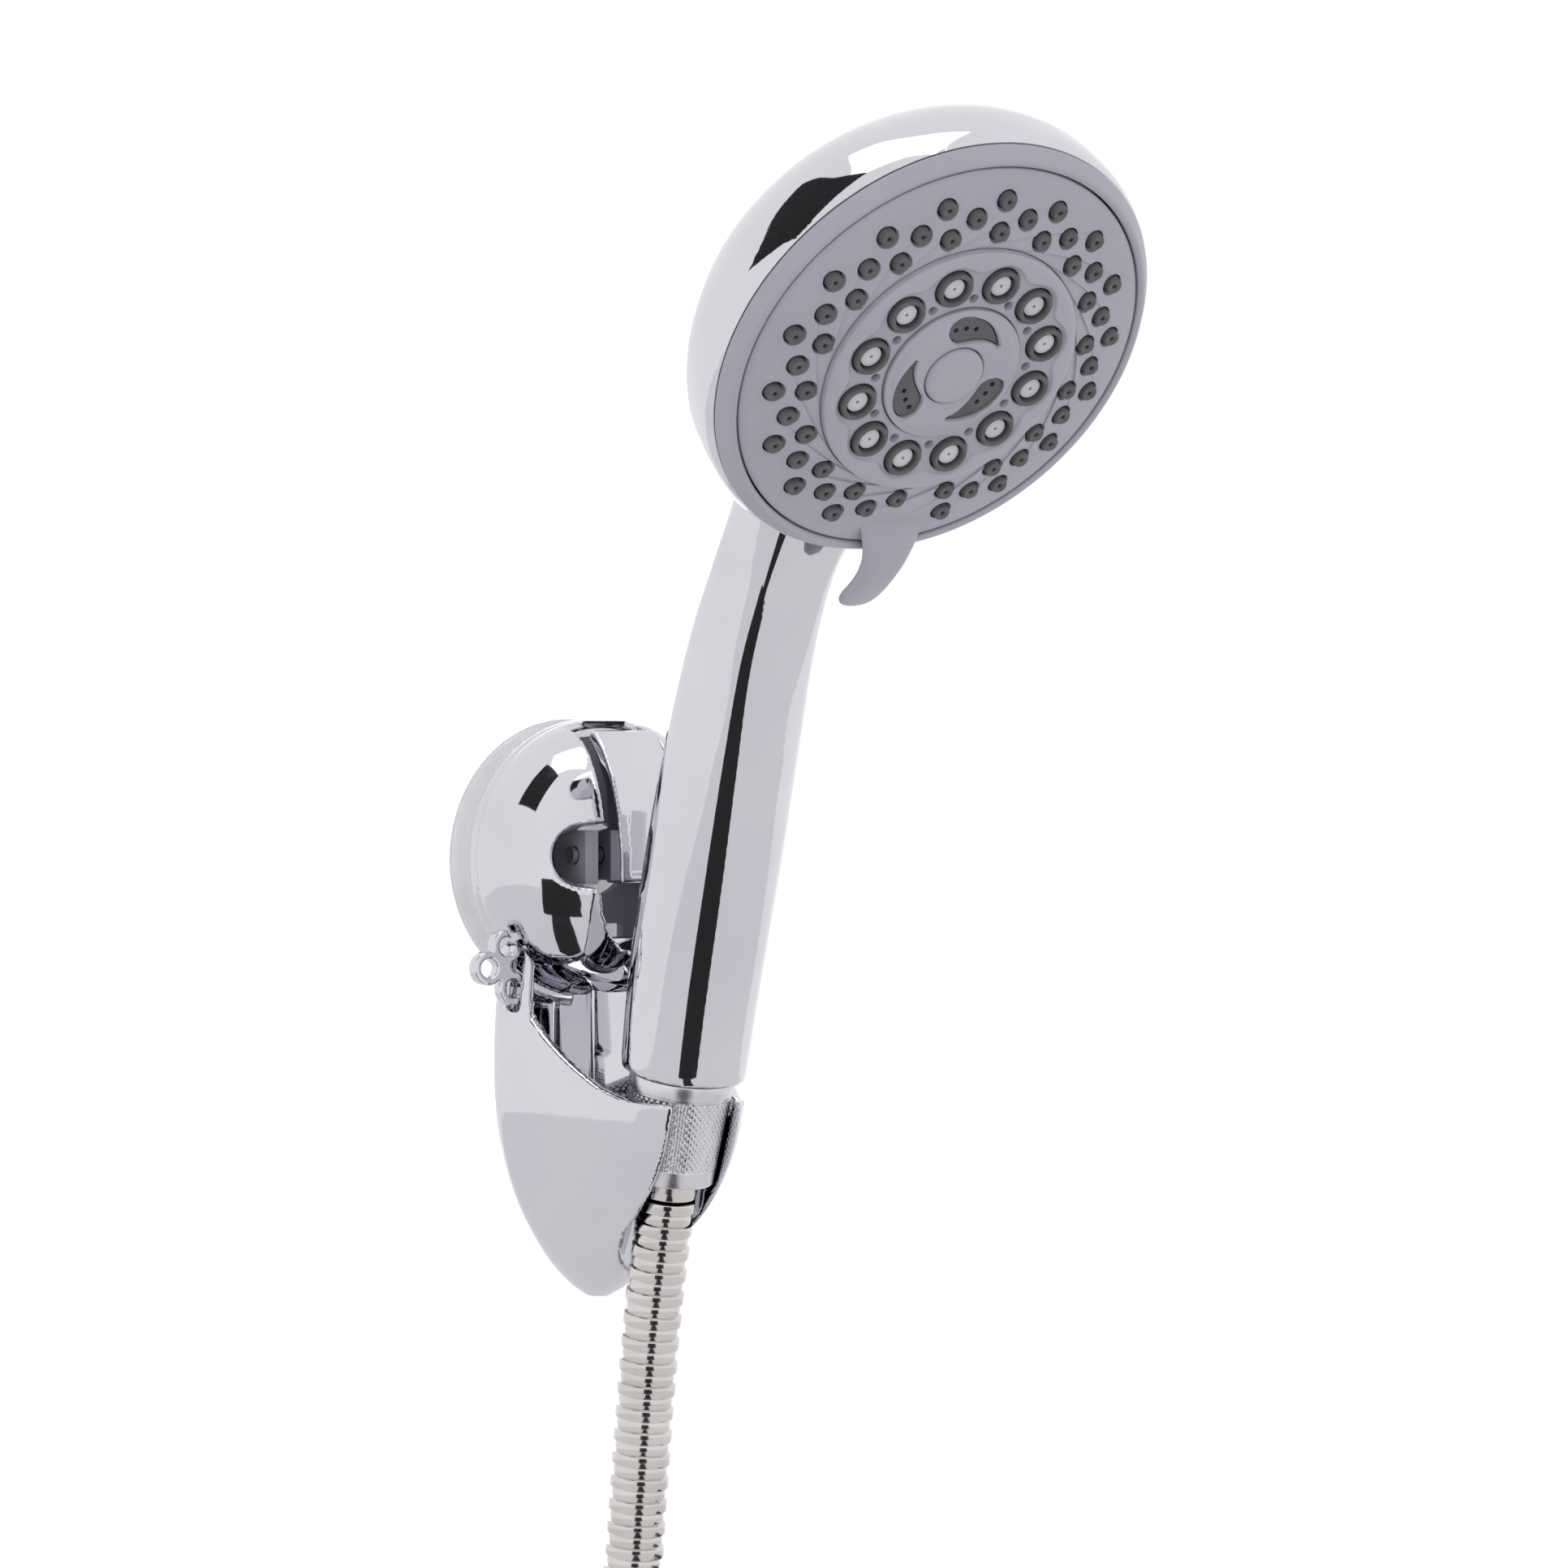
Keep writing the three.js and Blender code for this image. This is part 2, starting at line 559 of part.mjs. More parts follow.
function makeWorks() {
  const chamber = [[29.8, -4.9], [31.9, -4.9], [31.9, -14.2], [29.8, -14.2]];
  place(face, "spray_chamber", turned(chamber, 28), whitePlastic);
  const post = [[4.6, -4.4], [7.2, -4.4], [7.2, -18.2], [4.6, -18.2]];
  place(face, "face_pivot", turned(post, 20), whitePlastic);

  const disc = solid(turned([[7.6, -14.5], [46.8, -14.5], [46.8, -16.4], [7.6, -16.4]], 28));
  const port = (radius, degrees) => solid(rod(4, -30, 0, 10, ...onCircle(radius, degrees)));
  const discPorts = [port(39, 90), port(20, 210), port(20, 330)];
  place(face, "diverter_disc", cutAll(disc, discPorts), whitePlastic);
  const seal = [[12, -16.7], [28, -16.7], [28, -18.1], [12, -18.1]];
  place(face, "diverter_seal", turned(seal, 24), blackRubber);

  const plate = solid(
    turned([[2.2, -18.5], [47.6, -18.5], [47.6, -24], [2.2, -24]], 28),
  );
  place(face, "manifold_plate", cutAll(plate, [port(36, 90), port(20, 210)]), whitePlastic);
  const seam = new THREE.TorusGeometry(49.6, 1.5, 5, 24).translate(0, 0, -21.2);
  place(face, "head_o_ring", seam, blackRubber);
}

// Hose, its coil and its wall end
function makeHose() {
  const ferrule = [
    [4, -13.7], [9.9, -13.7], [9.9, -16.4], [7.1, -16.6], [7.1, -31.2], [4, -31.2],
  ];
  place(handset, "hose_ferrule", turned(ferrule, 20), steel);

  const points = HOSE_ROUTE.map(([x, out, z]) => new THREE.Vector3(x, -out, z));
  place(object, "hose_tube", swept(points, HOSE_RADIUS, 10, 16), steel);

  const near = COIL_FIRST - HOSE_RADIUS;
  const far = COIL_FIRST + (COIL_PITCH * COIL_TURN) / 360 + HOSE_RADIUS;
  const [low, high] = [COIL_RADIUS - HOSE_RADIUS, COIL_RADIUS + HOSE_RADIUS];
  const ring = turned([[low, near], [high, near], [high, far], [low, far]], 32)
    .applyMatrix4(wallFrame)
    .translate(COIL_X, 0, COIL_Z);
  place(object, "hose_coil", ring, steel);
  makeTies(low, high, near, far);
  makeTail();
}

function makeTies(low, high, near, far) {
  [["coil_tie_upper", 1], ["coil_tie_lower", -1]].forEach(([name, side]) => {
    const shell = (grow) =>
      solid(
        box([-5, low - grow, near - grow], [5, high + grow, far + grow])
          .scale(1, side, 1)
          .applyMatrix4(wallFrame)
          .translate(COIL_X, 0, COIL_Z),
      );
    const through = solid(
      box([-30, low - 1.6, near - 0.4], [30, high + 0.4, far + 0.4])
        .scale(1, side, 1)
        .applyMatrix4(wallFrame)
        .translate(COIL_X, 0, COIL_Z),
    );
    place(object, name, shell(2.6).subtract(through), blackRubber);
  });
}

function makeTail() {
  const degrees = 180 + COIL_TURN;
  const [cx, cz] = onCircle(COIL_RADIUS, degrees);
  const out = COIL_FIRST + (COIL_PITCH * COIL_TURN) / 360;
  const start = new THREE.Vector3(COIL_X + cx, -out, COIL_Z + cz);
  const angle = inRadians(degrees + 90);
  const along = new THREE.Vector3(Math.cos(angle), 0, Math.sin(angle));
  const tail = new THREE.Group();
  const turn = new THREE.Quaternion().setFromUnitVectors(new THREE.Vector3(0, 0, 1), along);
  tail.position.copy(start);
  tail.quaternion.copy(turn);
  object.add(tail);
  place(tail, "hose_tail", rod(HOSE_RADIUS, TAIL_START, TAIL_LENGTH, 10), steel);
  const from = TAIL_LENGTH + GAP;
  const ferrule = [
    [4, from], [7.1, from], [7.1, from + 12], [9.9, from + 12.2], [9.9, from + 14.8],
    [4, from + 14.8],
  ];
  place(tail, "wall_end_ferrule", turned(ferrule, 20), steel);
  const nut = [
    [7.5, from + 6], [11.2, from + 6], [12.2, from + 8], [12.2, from + 23], [10.7, from + 23],
    [10.7, from + 12.1], [10.3, from + 11.8], [7.5, from + 11.6],
  ];
  place(tail, "wall_end_nut", turned(nut, 24), satin);
  const washer = [
    [5.4, from + 15.1], [9.8, from + 15.1], [9.8, from + 17.2], [5.4, from + 17.2],
  ];
  place(tail, "wall_end_washer", turned(washer, 20), blackRubber);
}

makeSuctionCup();
makeDome();
makeBaseFrame();
makeLever();
makeStud();
makeLug();
makeCradle();
makeHandsetShell();
makeInlet();
makeNut();
makeBezel();
makeFacePlate();
makeNozzleMat();
makeMidRing();
makeCentre();
makeTurbine();
makeWorks();
makeHose();

export default object;
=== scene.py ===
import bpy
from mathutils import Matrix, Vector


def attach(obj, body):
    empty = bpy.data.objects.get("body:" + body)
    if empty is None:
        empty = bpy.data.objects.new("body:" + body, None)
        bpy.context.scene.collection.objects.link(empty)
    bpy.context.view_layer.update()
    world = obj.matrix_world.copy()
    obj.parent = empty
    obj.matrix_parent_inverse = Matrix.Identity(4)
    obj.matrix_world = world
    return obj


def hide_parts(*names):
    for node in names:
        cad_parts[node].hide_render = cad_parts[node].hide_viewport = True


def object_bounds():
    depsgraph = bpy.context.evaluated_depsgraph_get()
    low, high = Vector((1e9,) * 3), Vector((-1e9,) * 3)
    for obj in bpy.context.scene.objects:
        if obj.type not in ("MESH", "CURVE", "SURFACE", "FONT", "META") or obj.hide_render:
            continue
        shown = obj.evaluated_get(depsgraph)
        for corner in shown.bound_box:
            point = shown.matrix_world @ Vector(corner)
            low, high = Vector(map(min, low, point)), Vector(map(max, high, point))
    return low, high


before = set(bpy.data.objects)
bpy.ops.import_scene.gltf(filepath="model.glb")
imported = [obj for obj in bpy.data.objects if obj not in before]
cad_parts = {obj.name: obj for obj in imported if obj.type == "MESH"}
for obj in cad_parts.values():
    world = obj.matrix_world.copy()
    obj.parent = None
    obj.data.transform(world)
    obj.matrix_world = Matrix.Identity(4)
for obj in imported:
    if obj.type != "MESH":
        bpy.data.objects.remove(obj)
cad_box = [list(corner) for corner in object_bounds()]

# Hand shower on a suction-lock wall bracket. Shapes are written in millimetres in the frames below
# and turned into metres when a mesh is made. +Z is up and the wall is the plane y = 0.
import math
import bpy
import bmesh
from mathutils import Matrix, Vector

MM = 0.001
WORLD = Matrix.Identity(4)
WALL = Matrix(((1, 0, 0, 0), (0, 0, -1, 0), (0, 1, 0, 0), (0, 0, 0, 1)))


def placed(x, y, z, turn):
    return Matrix.Translation((x, y, z)) @ Matrix.Rotation(math.radians(turn), 4, "X")


HANDSET = placed(0, -51.5, -50, 13)
FACE = HANDSET @ placed(0, -70, 179.6, 115.1)
CAMERA_PLACE = (-0.6906, -1.1027, 0.0182)
CAMERA_SIDE = -34.4  # degrees, the way that the camera faces

# ---------------------------------------------------------------- camera
camera = bpy.data.objects.new("camera", bpy.data.cameras.new("camera"))
bpy.context.scene.collection.objects.link(camera)
camera.location = CAMERA_PLACE
camera.rotation_euler = (math.radians(90), 0, math.radians(CAMERA_SIDE))
camera.data.sensor_width = 36
camera.data.lens = 120.9
bpy.context.scene.camera = camera


# ---------------------------------------------------------------- mesh helpers
def linked(name, mesh):
    obj = bpy.data.objects.new(name, mesh)
    bpy.context.scene.collection.objects.link(obj)
    return obj


def build(name, shape, place=WORLD, sharp=35):
    """A mesh object from points in mm and faces, smooth but for edges past an angle."""
    points, faces = shape
    mesh = bpy.data.meshes.new(name)
    mesh.from_pydata([(place @ Vector(p)) * MM for p in points], [], [tuple(f) for f in faces])
    work = bmesh.new()
    work.from_mesh(mesh)
    bmesh.ops.recalc_face_normals(work, faces=work.faces)
    work.to_mesh(mesh)
    work.free()
    shade(mesh, sharp)
    return linked(name, mesh)


def shade(mesh, sharp):
    mesh.polygons.foreach_set("use_smooth", [True] * len(mesh.polygons))
    if sharp < 180:
        mesh.set_sharp_from_angle(angle=math.radians(sharp))
    mesh.update()


def settled(obj, sharp=None):
    """Applies the object's modifiers to its mesh."""
    graph = bpy.context.evaluated_depsgraph_get()
    mesh = bpy.data.meshes.new_from_object(obj.evaluated_get(graph), depsgraph=graph)
    obj.modifiers.clear()
    obj.data = mesh
    if sharp is not None:
        shade(mesh, sharp)
    return obj


def discard(obj):
    bpy.data.objects.remove(obj, do_unlink=True)


def boolean(obj, tools, operation="DIFFERENCE", sharp=None, solver="MANIFOLD"):
    for tool in tools:
        step = obj.modifiers.new("cut", "BOOLEAN")
        step.operation = operation
        step.solver = solver
        step.object = tool
    settled(obj, sharp)
    for tool in tools:
        discard(tool)
    return obj


def softened(obj, voxel, rounds, sharp=180):
    """Voxel remesh, then smoothing, which rounds every edge as a moulded part's edges are."""
    remesh = obj.modifiers.new("remesh", "REMESH")
    remesh.mode = "VOXEL"
    remesh.voxel_size = voxel * MM
    smooth = obj.modifiers.new("smooth", "SMOOTH")
    smooth.factor = 0.5
    smooth.iterations = rounds
    return settled(obj, sharp)


def circle_point(radius, degrees):
    return radius * math.cos(math.radians(degrees)), radius * math.sin(math.radians(degrees))


def rounded(outline, size, steps=3):
    """The outline with each corner off the axis turned by a small arc."""
    result = []
    count = len(outline)
    for i, corner in enumerate(outline):
        if corner[0] < 1e-6:
            result.append(tuple(corner))
            continue
        here = Vector(corner)
        legs = [Vector(outline[i - 1]) - here, Vector(outline[(i + 1) % count]) - here]
        ends = [here + leg.normalized() * min(size, 0.45 * leg.length) for leg in legs]
        for k in range(steps + 1):
            t = k / steps
            point = ends[0] * (1 - t) ** 2 + here * (2 * t * (1 - t)) + ends[1] * t * t
            result.append((max(point.x, 0), point.y))
    return result


def turned(profile, segments=128):
    """A [radius, z] outline turned about z; an outline that touches the axis starts and ends there."""
    points, rings, faces = [], [], []
    for radius, z in profile:
        first = len(points)
        if radius < 1e-6:
            points.append((0, 0, z))
            rings.append([first])
        else:
            for i in range(segments):
                x, y = circle_point(radius, 360 * i / segments)
                points.append((x, y, z))
            rings.append(list(range(first, first + segments)))
    pairs = list(zip(rings, rings[1:]))
    if profile[0][0] > 1e-6:
        pairs.append((rings[-1], rings[0]))
    for low, high in pairs:
        for i in range(segments):
            j = (i + 1) % segments
            if len(low) == 1 and len(high) == 1:
                continue
            if len(low) == 1:
                faces.append((low[0], high[j], high[i]))
            elif len(high) == 1:
                faces.append((low[i], low[j], high[0]))
            else:
                faces.append((low[i], low[j], high[j], high[i]))
    return points, faces


def lofted(rings, capped=True):
    """Rings of equal counts, skinned, with a fan at each end."""
    count = len(rings[0])
    points = [p for ring in rings for p in ring]
    faces = []
    for k in range(len(rings) - 1):
        for i in range(count):
            j = (i + 1) % count
            faces.append((k * count + i, k * count + j, (k + 1) * count + j, (k + 1) * count + i))
    if capped:
        for ring, base in ((rings[0], 0), (rings[-1], (len(rings) - 1) * count)):
            middle = sum((Vector(p) for p in ring), Vector()) / count
            points.append(tuple(middle))
            centre = len(points) - 1
            faces += [(base + i, base + (i + 1) % count, centre) for i in range(count)]
    return points, faces


def flowed(stations, per_span):
    """Catmull-Rom points through a list of stations of any width."""
    rows = [Vector(s) for s in stations]
    rows = [rows[0] * 2 - rows[1]] + rows + [rows[-1] * 2 - rows[-2]]
    result = []
    for i in range(1, len(rows) - 2):
        a, b, c, d = rows[i - 1:i + 3]
        for k in range(per_span):
            t = k / per_span
            result.append(0.5 * (2 * b + (c - a) * t + (2 * a - 5 * b + 4 * c - d) * t * t
                                 + (3 * b - a - 3 * c + d) * t ** 3))
    result.append(rows[-2])
    return result


def limb(stations, sides=96, per_span=8):
    """Oval sections along a path in the y-z plane: [forward, up, half width, half depth, power]."""
    rows = flowed(stations, per_span)
    rings = []
    for i, (forward, up, width, depth, power) in enumerate(rows):
        before, after = rows[max(i - 1, 0)], rows[min(i + 1, len(rows) - 1)]
        along = Vector((0, before[0] - after[0], after[1] - before[1])).normalized()
        if i == 0:
            along = Vector((0, 0, 1))
        across = Vector((0, -along.z, along.y))
        ring = []
        for k in range(sides):
            c, s = circle_point(1, 360 * k / sides)
            x = -width * math.copysign(abs(c) ** (2 / power), c)
            y = depth * math.copysign(abs(s) ** (2 / power), s)
            ring.append(Vector((x, -forward, up)) + across * y)
        rings.append(ring)
    return lofted(rings)


def slab(outline, half):
    """An outline in the wall's [distance out, height] plane, spread to both sides of x = 0."""
    rings = [[(x, -out, up) for out, up in outline] for x in (-half, half)]
    return lofted_flat(rings)


def lofted_flat(rings):
    points, faces = lofted(rings, capped=False)
    count = len(rings[0])
    faces += [tuple(range(count)), tuple(range(len(points) - count, len(points)))]
    return points, faces


def prism(outline, low, high):
    """An x-y outline raised from low to high."""
    return lofted_flat([[(x, y, z) for x, y in outline] for z in (low, high)])


def block(low, high):
    return prism([(low[0], low[1]), (high[0], low[1]), (high[0], high[1]), (low[0], high[1])],
                 low[2], high[2])


def rod(radius, low, high, x=0, y=0, sides=32, top=None):
    top = radius if top is None else top
    rings = []
    for r, z in ((radius, low), (top, high)):
        rings.append([(x + a, y + b, z) for a, b in (circle_point(r, 360 * i / sides)
                                                     for i in range(sides))])
    return lofted_flat(rings)


def moved(shape, x, y, z=0):
    return [(p[0] + x, p[1] + y, p[2] + z) for p in shape[0]], shape[1]


def gathered(shapes):
    """Several (points, faces) in one."""
    points, faces = [], []
    for more, their in shapes:
        base = len(points)
        points += list(more)
        faces += [tuple(base + i for i in f) for f in their]
    return points, faces


# ---------------------------------------------------------------- materials
def nodes_of(name):
    material = bpy.data.materials.new(name)
    material.use_nodes = True
    tree = material.node_tree
    return material, tree, tree.nodes["Principled BSDF"]


def noise_node(tree, scale, detail=3.0, stretch=(1, 1, 1), rough=0.5):
    coord = tree.nodes.new("ShaderNodeTexCoord")
    mapping = tree.nodes.new("ShaderNodeMapping")
    mapping.inputs["Scale"].default_value = stretch
    tree.links.new(coord.outputs["Object"], mapping.inputs["Vector"])
    noise = tree.nodes.new("ShaderNodeTexNoise")
    noise.inputs["Scale"].default_value = scale
    noise.inputs["Detail"].default_value = detail
    noise.inputs["Roughness"].default_value = rough
    tree.links.new(mapping.outputs["Vector"], noise.inputs["Vector"])
    return noise


def finish_of(name, dark, light, rough, metallic=0.0, mottle=60, grain=900, bump=0.1,
              depth=0.00002, stretch=(1, 1, 1), **sockets):
    """A procedural finish: mottled colour, varied roughness and a fine bump."""
    material, tree, shader = nodes_of(name)
    cloud = noise_node(tree, mottle, 4.0)
    ramp = tree.nodes.new("ShaderNodeValToRGB")
    ramp.color_ramp.elements[0].position = 0.3
    ramp.color_ramp.elements[1].position = 0.7
    ramp.color_ramp.elements[0].color = (*dark, 1)
    ramp.color_ramp.elements[1].color = (*light, 1)
    tree.links.new(cloud.outputs["Fac"], ramp.inputs["Fac"])
    tree.links.new(ramp.outputs["Color"], shader.inputs["Base Color"])
    fine = noise_node(tree, grain, 2.0, stretch)
    spread = tree.nodes.new("ShaderNodeMapRange")
    spread.inputs["To Min"].default_value = rough[0]
    spread.inputs["To Max"].default_value = rough[1]
    tree.links.new(cloud.outputs["Fac"], spread.inputs["Value"])
    tree.links.new(spread.outputs["Result"], shader.inputs["Roughness"])
    relief = tree.nodes.new("ShaderNodeBump")
    relief.inputs["Strength"].default_value = bump
    relief.inputs["Distance"].default_value = depth
    tree.links.new(fine.outputs["Fac"], relief.inputs["Height"])
    tree.links.new(relief.outputs["Normal"], shader.inputs["Normal"])
    shader.inputs["Metallic"].default_value = metallic
    for socket, value in sockets.items():
        shader.inputs[socket.replace("_", " ")].default_value = value
    return material


chrome = finish_of("chrome", (0.63, 0.63, 0.68), (0.68, 0.68, 0.725), (0.03, 0.06), 1.0,
                   mottle=30, grain=140, bump=0.22, depth=0.00006)
satin_metal = finish_of("satin_metal", (0.60, 0.60, 0.63), (0.72, 0.72, 0.75), (0.2, 0.3), 1.0,
                        mottle=200, grain=2600, bump=0.35)
hose_steel = finish_of("hose_steel", (0.61, 0.575, 0.565), (0.69, 0.66, 0.65), (0.08, 0.16), 1.0,
                       mottle=90, grain=500, bump=0.2, depth=0.00004)
brass = finish_of("brass", (0.50, 0.36, 0.14), (0.62, 0.47, 0.20), (0.25, 0.4), 1.0,
                  mottle=150, grain=1500, bump=0.3)
grey_plastic = finish_of("grey_plastic", (0.350, 0.352, 0.415), (0.375, 0.377, 0.440),
                         (0.36, 0.46), mottle=50, grain=2200, bump=0.25)
white_plastic = finish_of("white_plastic", (0.52, 0.52, 0.56), (0.59, 0.59, 0.63), (0.3, 0.4),
                          mottle=80, grain=1800, bump=0.2)
dark_rubber = finish_of("dark_rubber", (0.075, 0.075, 0.083), (0.105, 0.105, 0.113),
                        (0.42, 0.6), mottle=300, grain=3500, bump=0.35, depth=0.00003)
black_rubber = finish_of("black_rubber", (0.012, 0.012, 0.014), (0.022, 0.022, 0.025),
                         (0.55, 0.75), mottle=250, grain=3000, bump=0.5, depth=0.00004)
clear_vinyl = finish_of("clear_vinyl", (0.84, 0.83, 0.87), (0.9, 0.89, 0.92), (0.06, 0.14),
                        mottle=60, grain=300, bump=0.05, depth=0.00002,
                        Transmission_Weight=0.6, IOR=1.46)
FINISHES = {
    "chrome": chrome, "satin_metal": satin_metal, "hose_steel": hose_steel, "brass": brass,
    "grey_plastic": grey_plastic, "white_plastic": white_plastic, "dark_rubber": dark_rubber,
    "black_rubber": black_rubber, "clear_vinyl": clear_vinyl,
}


def show(obj, body, slot, *nodes):
    """Gives a piece its finish and its body, and hides the CAD nodes that it stands for."""
    obj.data.materials.clear()
    obj.data.materials.append(FINISHES[slot])
    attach(obj, body)
    if nodes:
        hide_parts(*nodes)
    return obj


# ---------------------------------------------------------------- hose: the free cord
HOSE_RADIUS = 7
HOSE_ROUTE = [
    (0, 44.35, -80.98), (0, 42.1, -90.7), (0, 39.9, -100.5), (0, 37.9, -111), (0, 36.1, -122),
    (0, 34.5, -133), (0, 32.9, -145), (0, 31.3, -157), (0, 29.6, -170), (-0.9, 27.9, -183),
    (-3.6, 26, -195), (-7, 24.2, -205), (-11.6, 21.6, -219), (-15.4, 19, -234),
    (-17.5, 17.2, -249),
]
COIL_RADIUS, COIL_X, COIL_Z = 70, 52, -264
COIL_FIRST, COIL_PITCH, COIL_TURN = 16, 14.4, 1050
COIL_STEP = 20
TAIL = (15, 30, 45.4, 60)
BAND_PITCH = 5.72
# One interlocked band of the hose: [share of the pitch, radius]
BAND = [(0, 6.3), (0.05, 6.92), (0.1, 7), (0.47, 6.98), (0.52, 6.86), (0.54, 6.2), (0.6, 6.34),
        (0.8, 6.44), (0.97, 6.34)]


def coil_point(degrees):
    x, z = circle_point(COIL_RADIUS, 180 + degrees)
    return COIL_X + x, COIL_FIRST + COIL_PITCH * degrees / 360, COIL_Z + z


def hose_path():
    """The hose's whole centre line as world points in millimetres."""
    route = list(HOSE_ROUTE) + [
        coil_point(COIL_STEP * i) for i in range(COIL_TURN // COIL_STEP + 1)]
    end = coil_point(COIL_TURN)
    if math.dist(route[-1], end) > 3:
        route.append(end)
    along = circle_point(1, 180 + COIL_TURN + 90)
    route += [(end[0] + along[0] * d, end[1], end[2] + along[1] * d) for d in TAIL]
    return [Vector((x, -out, z)) for x, out, z in route]


def measured(points):
    """Running length along a polyline."""
    total = [0.0]
    for a, b in zip(points, points[1:]):
        total.append(total[-1] + (b - a).length)
    return total


def banded_tube(path, sides=40):
    line = flowed(path, 12)
    total = measured(line)
    stops = []
    k = 0
    while True:
        along = k * BAND_PITCH
        for share, radius in BAND:
            s = along + share * BAND_PITCH
            if s > total[-1]:
                break
            stops.append((s, radius))
        if along > total[-1]:
            break
        k += 1
    stops.append((total[-1], BAND[0][1]))
    rings = []
    across = Vector((1, 0, 0))
    at = 0
    for s, radius in stops:
        while at < len(total) - 2 and total[at + 1] < s:
            at += 1
        step = line[at + 1] - line[at]
        spot = line[at] + step * ((s - total[at]) / step.length)
        along = (line[min(at + 2, len(line) - 1)] - line[max(at - 1, 0)]).normalized()
        across = (across - along * across.dot(along)).normalized()
        other = along.cross(across)
        ring = []
        for i in range(sides):
            c, d = circle_point(radius, 360 * i / sides)
            ring.append(spot + across * c + other * d)
        rings.append(ring)
    return lofted(rings)


route = hose_path()
hose = build("shower_hose", banded_tube(route), sharp=28)
show(hose, "hose", "hose_steel", "hose_tube", "hose_coil", "hose_tail")

# ---------------------------------------------------------------- hose fittings
def knurled_nut(name, low, high, r_low, r_high, collars, place):
    """A tapered nut with plain collars and a cross-cut knurl between them."""
    bottom, top = collars
    segments, rows = 300, 64
    teeth, lead, tooth_share = 46, 1.55, 0.42
    rings = []

    def ring_at(z, radius, knurl=0.0):
        ring = []
        for i in range(segments):
            turn = i / segments
            cuts = [abs(((turn * teeth + way * z / lead) % 1) - 0.5) * 2 for way in (1, -1)]
            groove = max(max(0, 1 - c / tooth_share) for c in cuts)
            x, y = circle_point(radius - knurl * groove, 360 * turn)
            ring.append((x, y, z))
        return ring

    def radius_at(z):
        return r_low + (r_high - r_low) * (z - low) / (high - low)

    for z, inset in ((low, 0.5), (low + 0.15, 0.15), (low + 0.5, 0)):
        rings.append(ring_at(z, radius_at(z) - inset))
    rings.append(ring_at(bottom - 0.3, radius_at(bottom)))
    rings.append(ring_at(bottom - 0.1, radius_at(bottom) - 0.16))
    for k in range(rows + 1):
        z = bottom + (top - bottom) * k / rows
        rings.append(ring_at(z, radius_at(z) - 0.05, 0.24))
    rings.append(ring_at(top + 0.1, radius_at(top) - 0.3))
    rings.append(ring_at(top + 0.5, radius_at(top) - 0.3))
    for z, inset in ((top + 0.7, 0), (high - 0.5, 0), (high - 0.15, 0.15), (high, 0.5)):
        rings.append(ring_at(z, radius_at(z) - inset))
    body = build(name, lofted(rings), place, sharp=32)
    bore = build("bore", turned([(0, low - 3), (7.5, low - 3), (7.5, low + 10.1),
                                 (10.3, low + 10.3), (10.5, high + 3), (0, high + 3)], 64), place)
    return boolean(body, [bore], sharp=32)


nut = knurled_nut("hose_nut_knurled", -27, -1.2, 10.5, 12.75, (-22.6, -5.4), HANDSET)
show(nut, "handset", "satin_metal", "hose_nut")

ferrule = build("hose_ferrule_turned", turned(rounded([
    (4, -13.7), (9.9, -13.7), (9.9, -16.4), (7.1, -16.7), (7.1, -29.4), (6.8, -31.2), (4, -31.2),
], 0.3), 96), HANDSET)
show(ferrule, "hose", "hose_steel", "hose_ferrule")

# The wall end of the hose, in a frame whose z runs along the tail
tail_end = coil_point(COIL_TURN)
tail_along = circle_point(1, 180 + COIL_TURN + 90)
TAIL_FRAME = Matrix.Translation((tail_end[0], -tail_end[1], tail_end[2])) @ Vector(
    (0, 0, 1)).rotation_difference(Vector((tail_along[0], 0, tail_along[1]))).to_matrix().to_4x4()
wall_ferrule = build("wall_ferrule_turned", turned(rounded([
    (4, 60.3), (6.8, 60.3), (7.1, 61.5), (7.1, 72.2), (9.9, 72.5), (9.9, 75.1), (4, 75.1),
], 0.3), 96), TAIL_FRAME)
show(wall_ferrule, "hose", "hose_steel", "wall_end_ferrule")


def hex_nut():
    """The wall nut: a turned body with six flats milled on its outer end."""
    body = build("wall_nut_hex", turned(rounded([
        (7.5, 66.3), (11.2, 66.3), (12.2, 68.3), (12.2, 83.3), (10.7, 83.3), (10.7, 72.4),
        (10.3, 72.1), (7.5, 71.9),
    ], 0.35), 120), TAIL_FRAME)
    flats = []
    for i in range(6):
        turn = Matrix.Rotation(math.radians(60 * i), 4, "Z")
        flats.append(build("flat", block((11.3, -20, 70), (30, 20, 90)), TAIL_FRAME @ turn))
    return boolean(body, flats, sharp=25)


show(hex_nut(), "wall_nut", "satin_metal", "wall_end_nut")
wall_washer = build("wall_washer_ring", turned(rounded(
    [(5.4, 75.4), (9.8, 75.4), (9.8, 77.5), (5.4, 77.5)], 0.4), 72), TAIL_FRAME)
show(wall_washer, "hose", "black_rubber", "wall_end_washer")


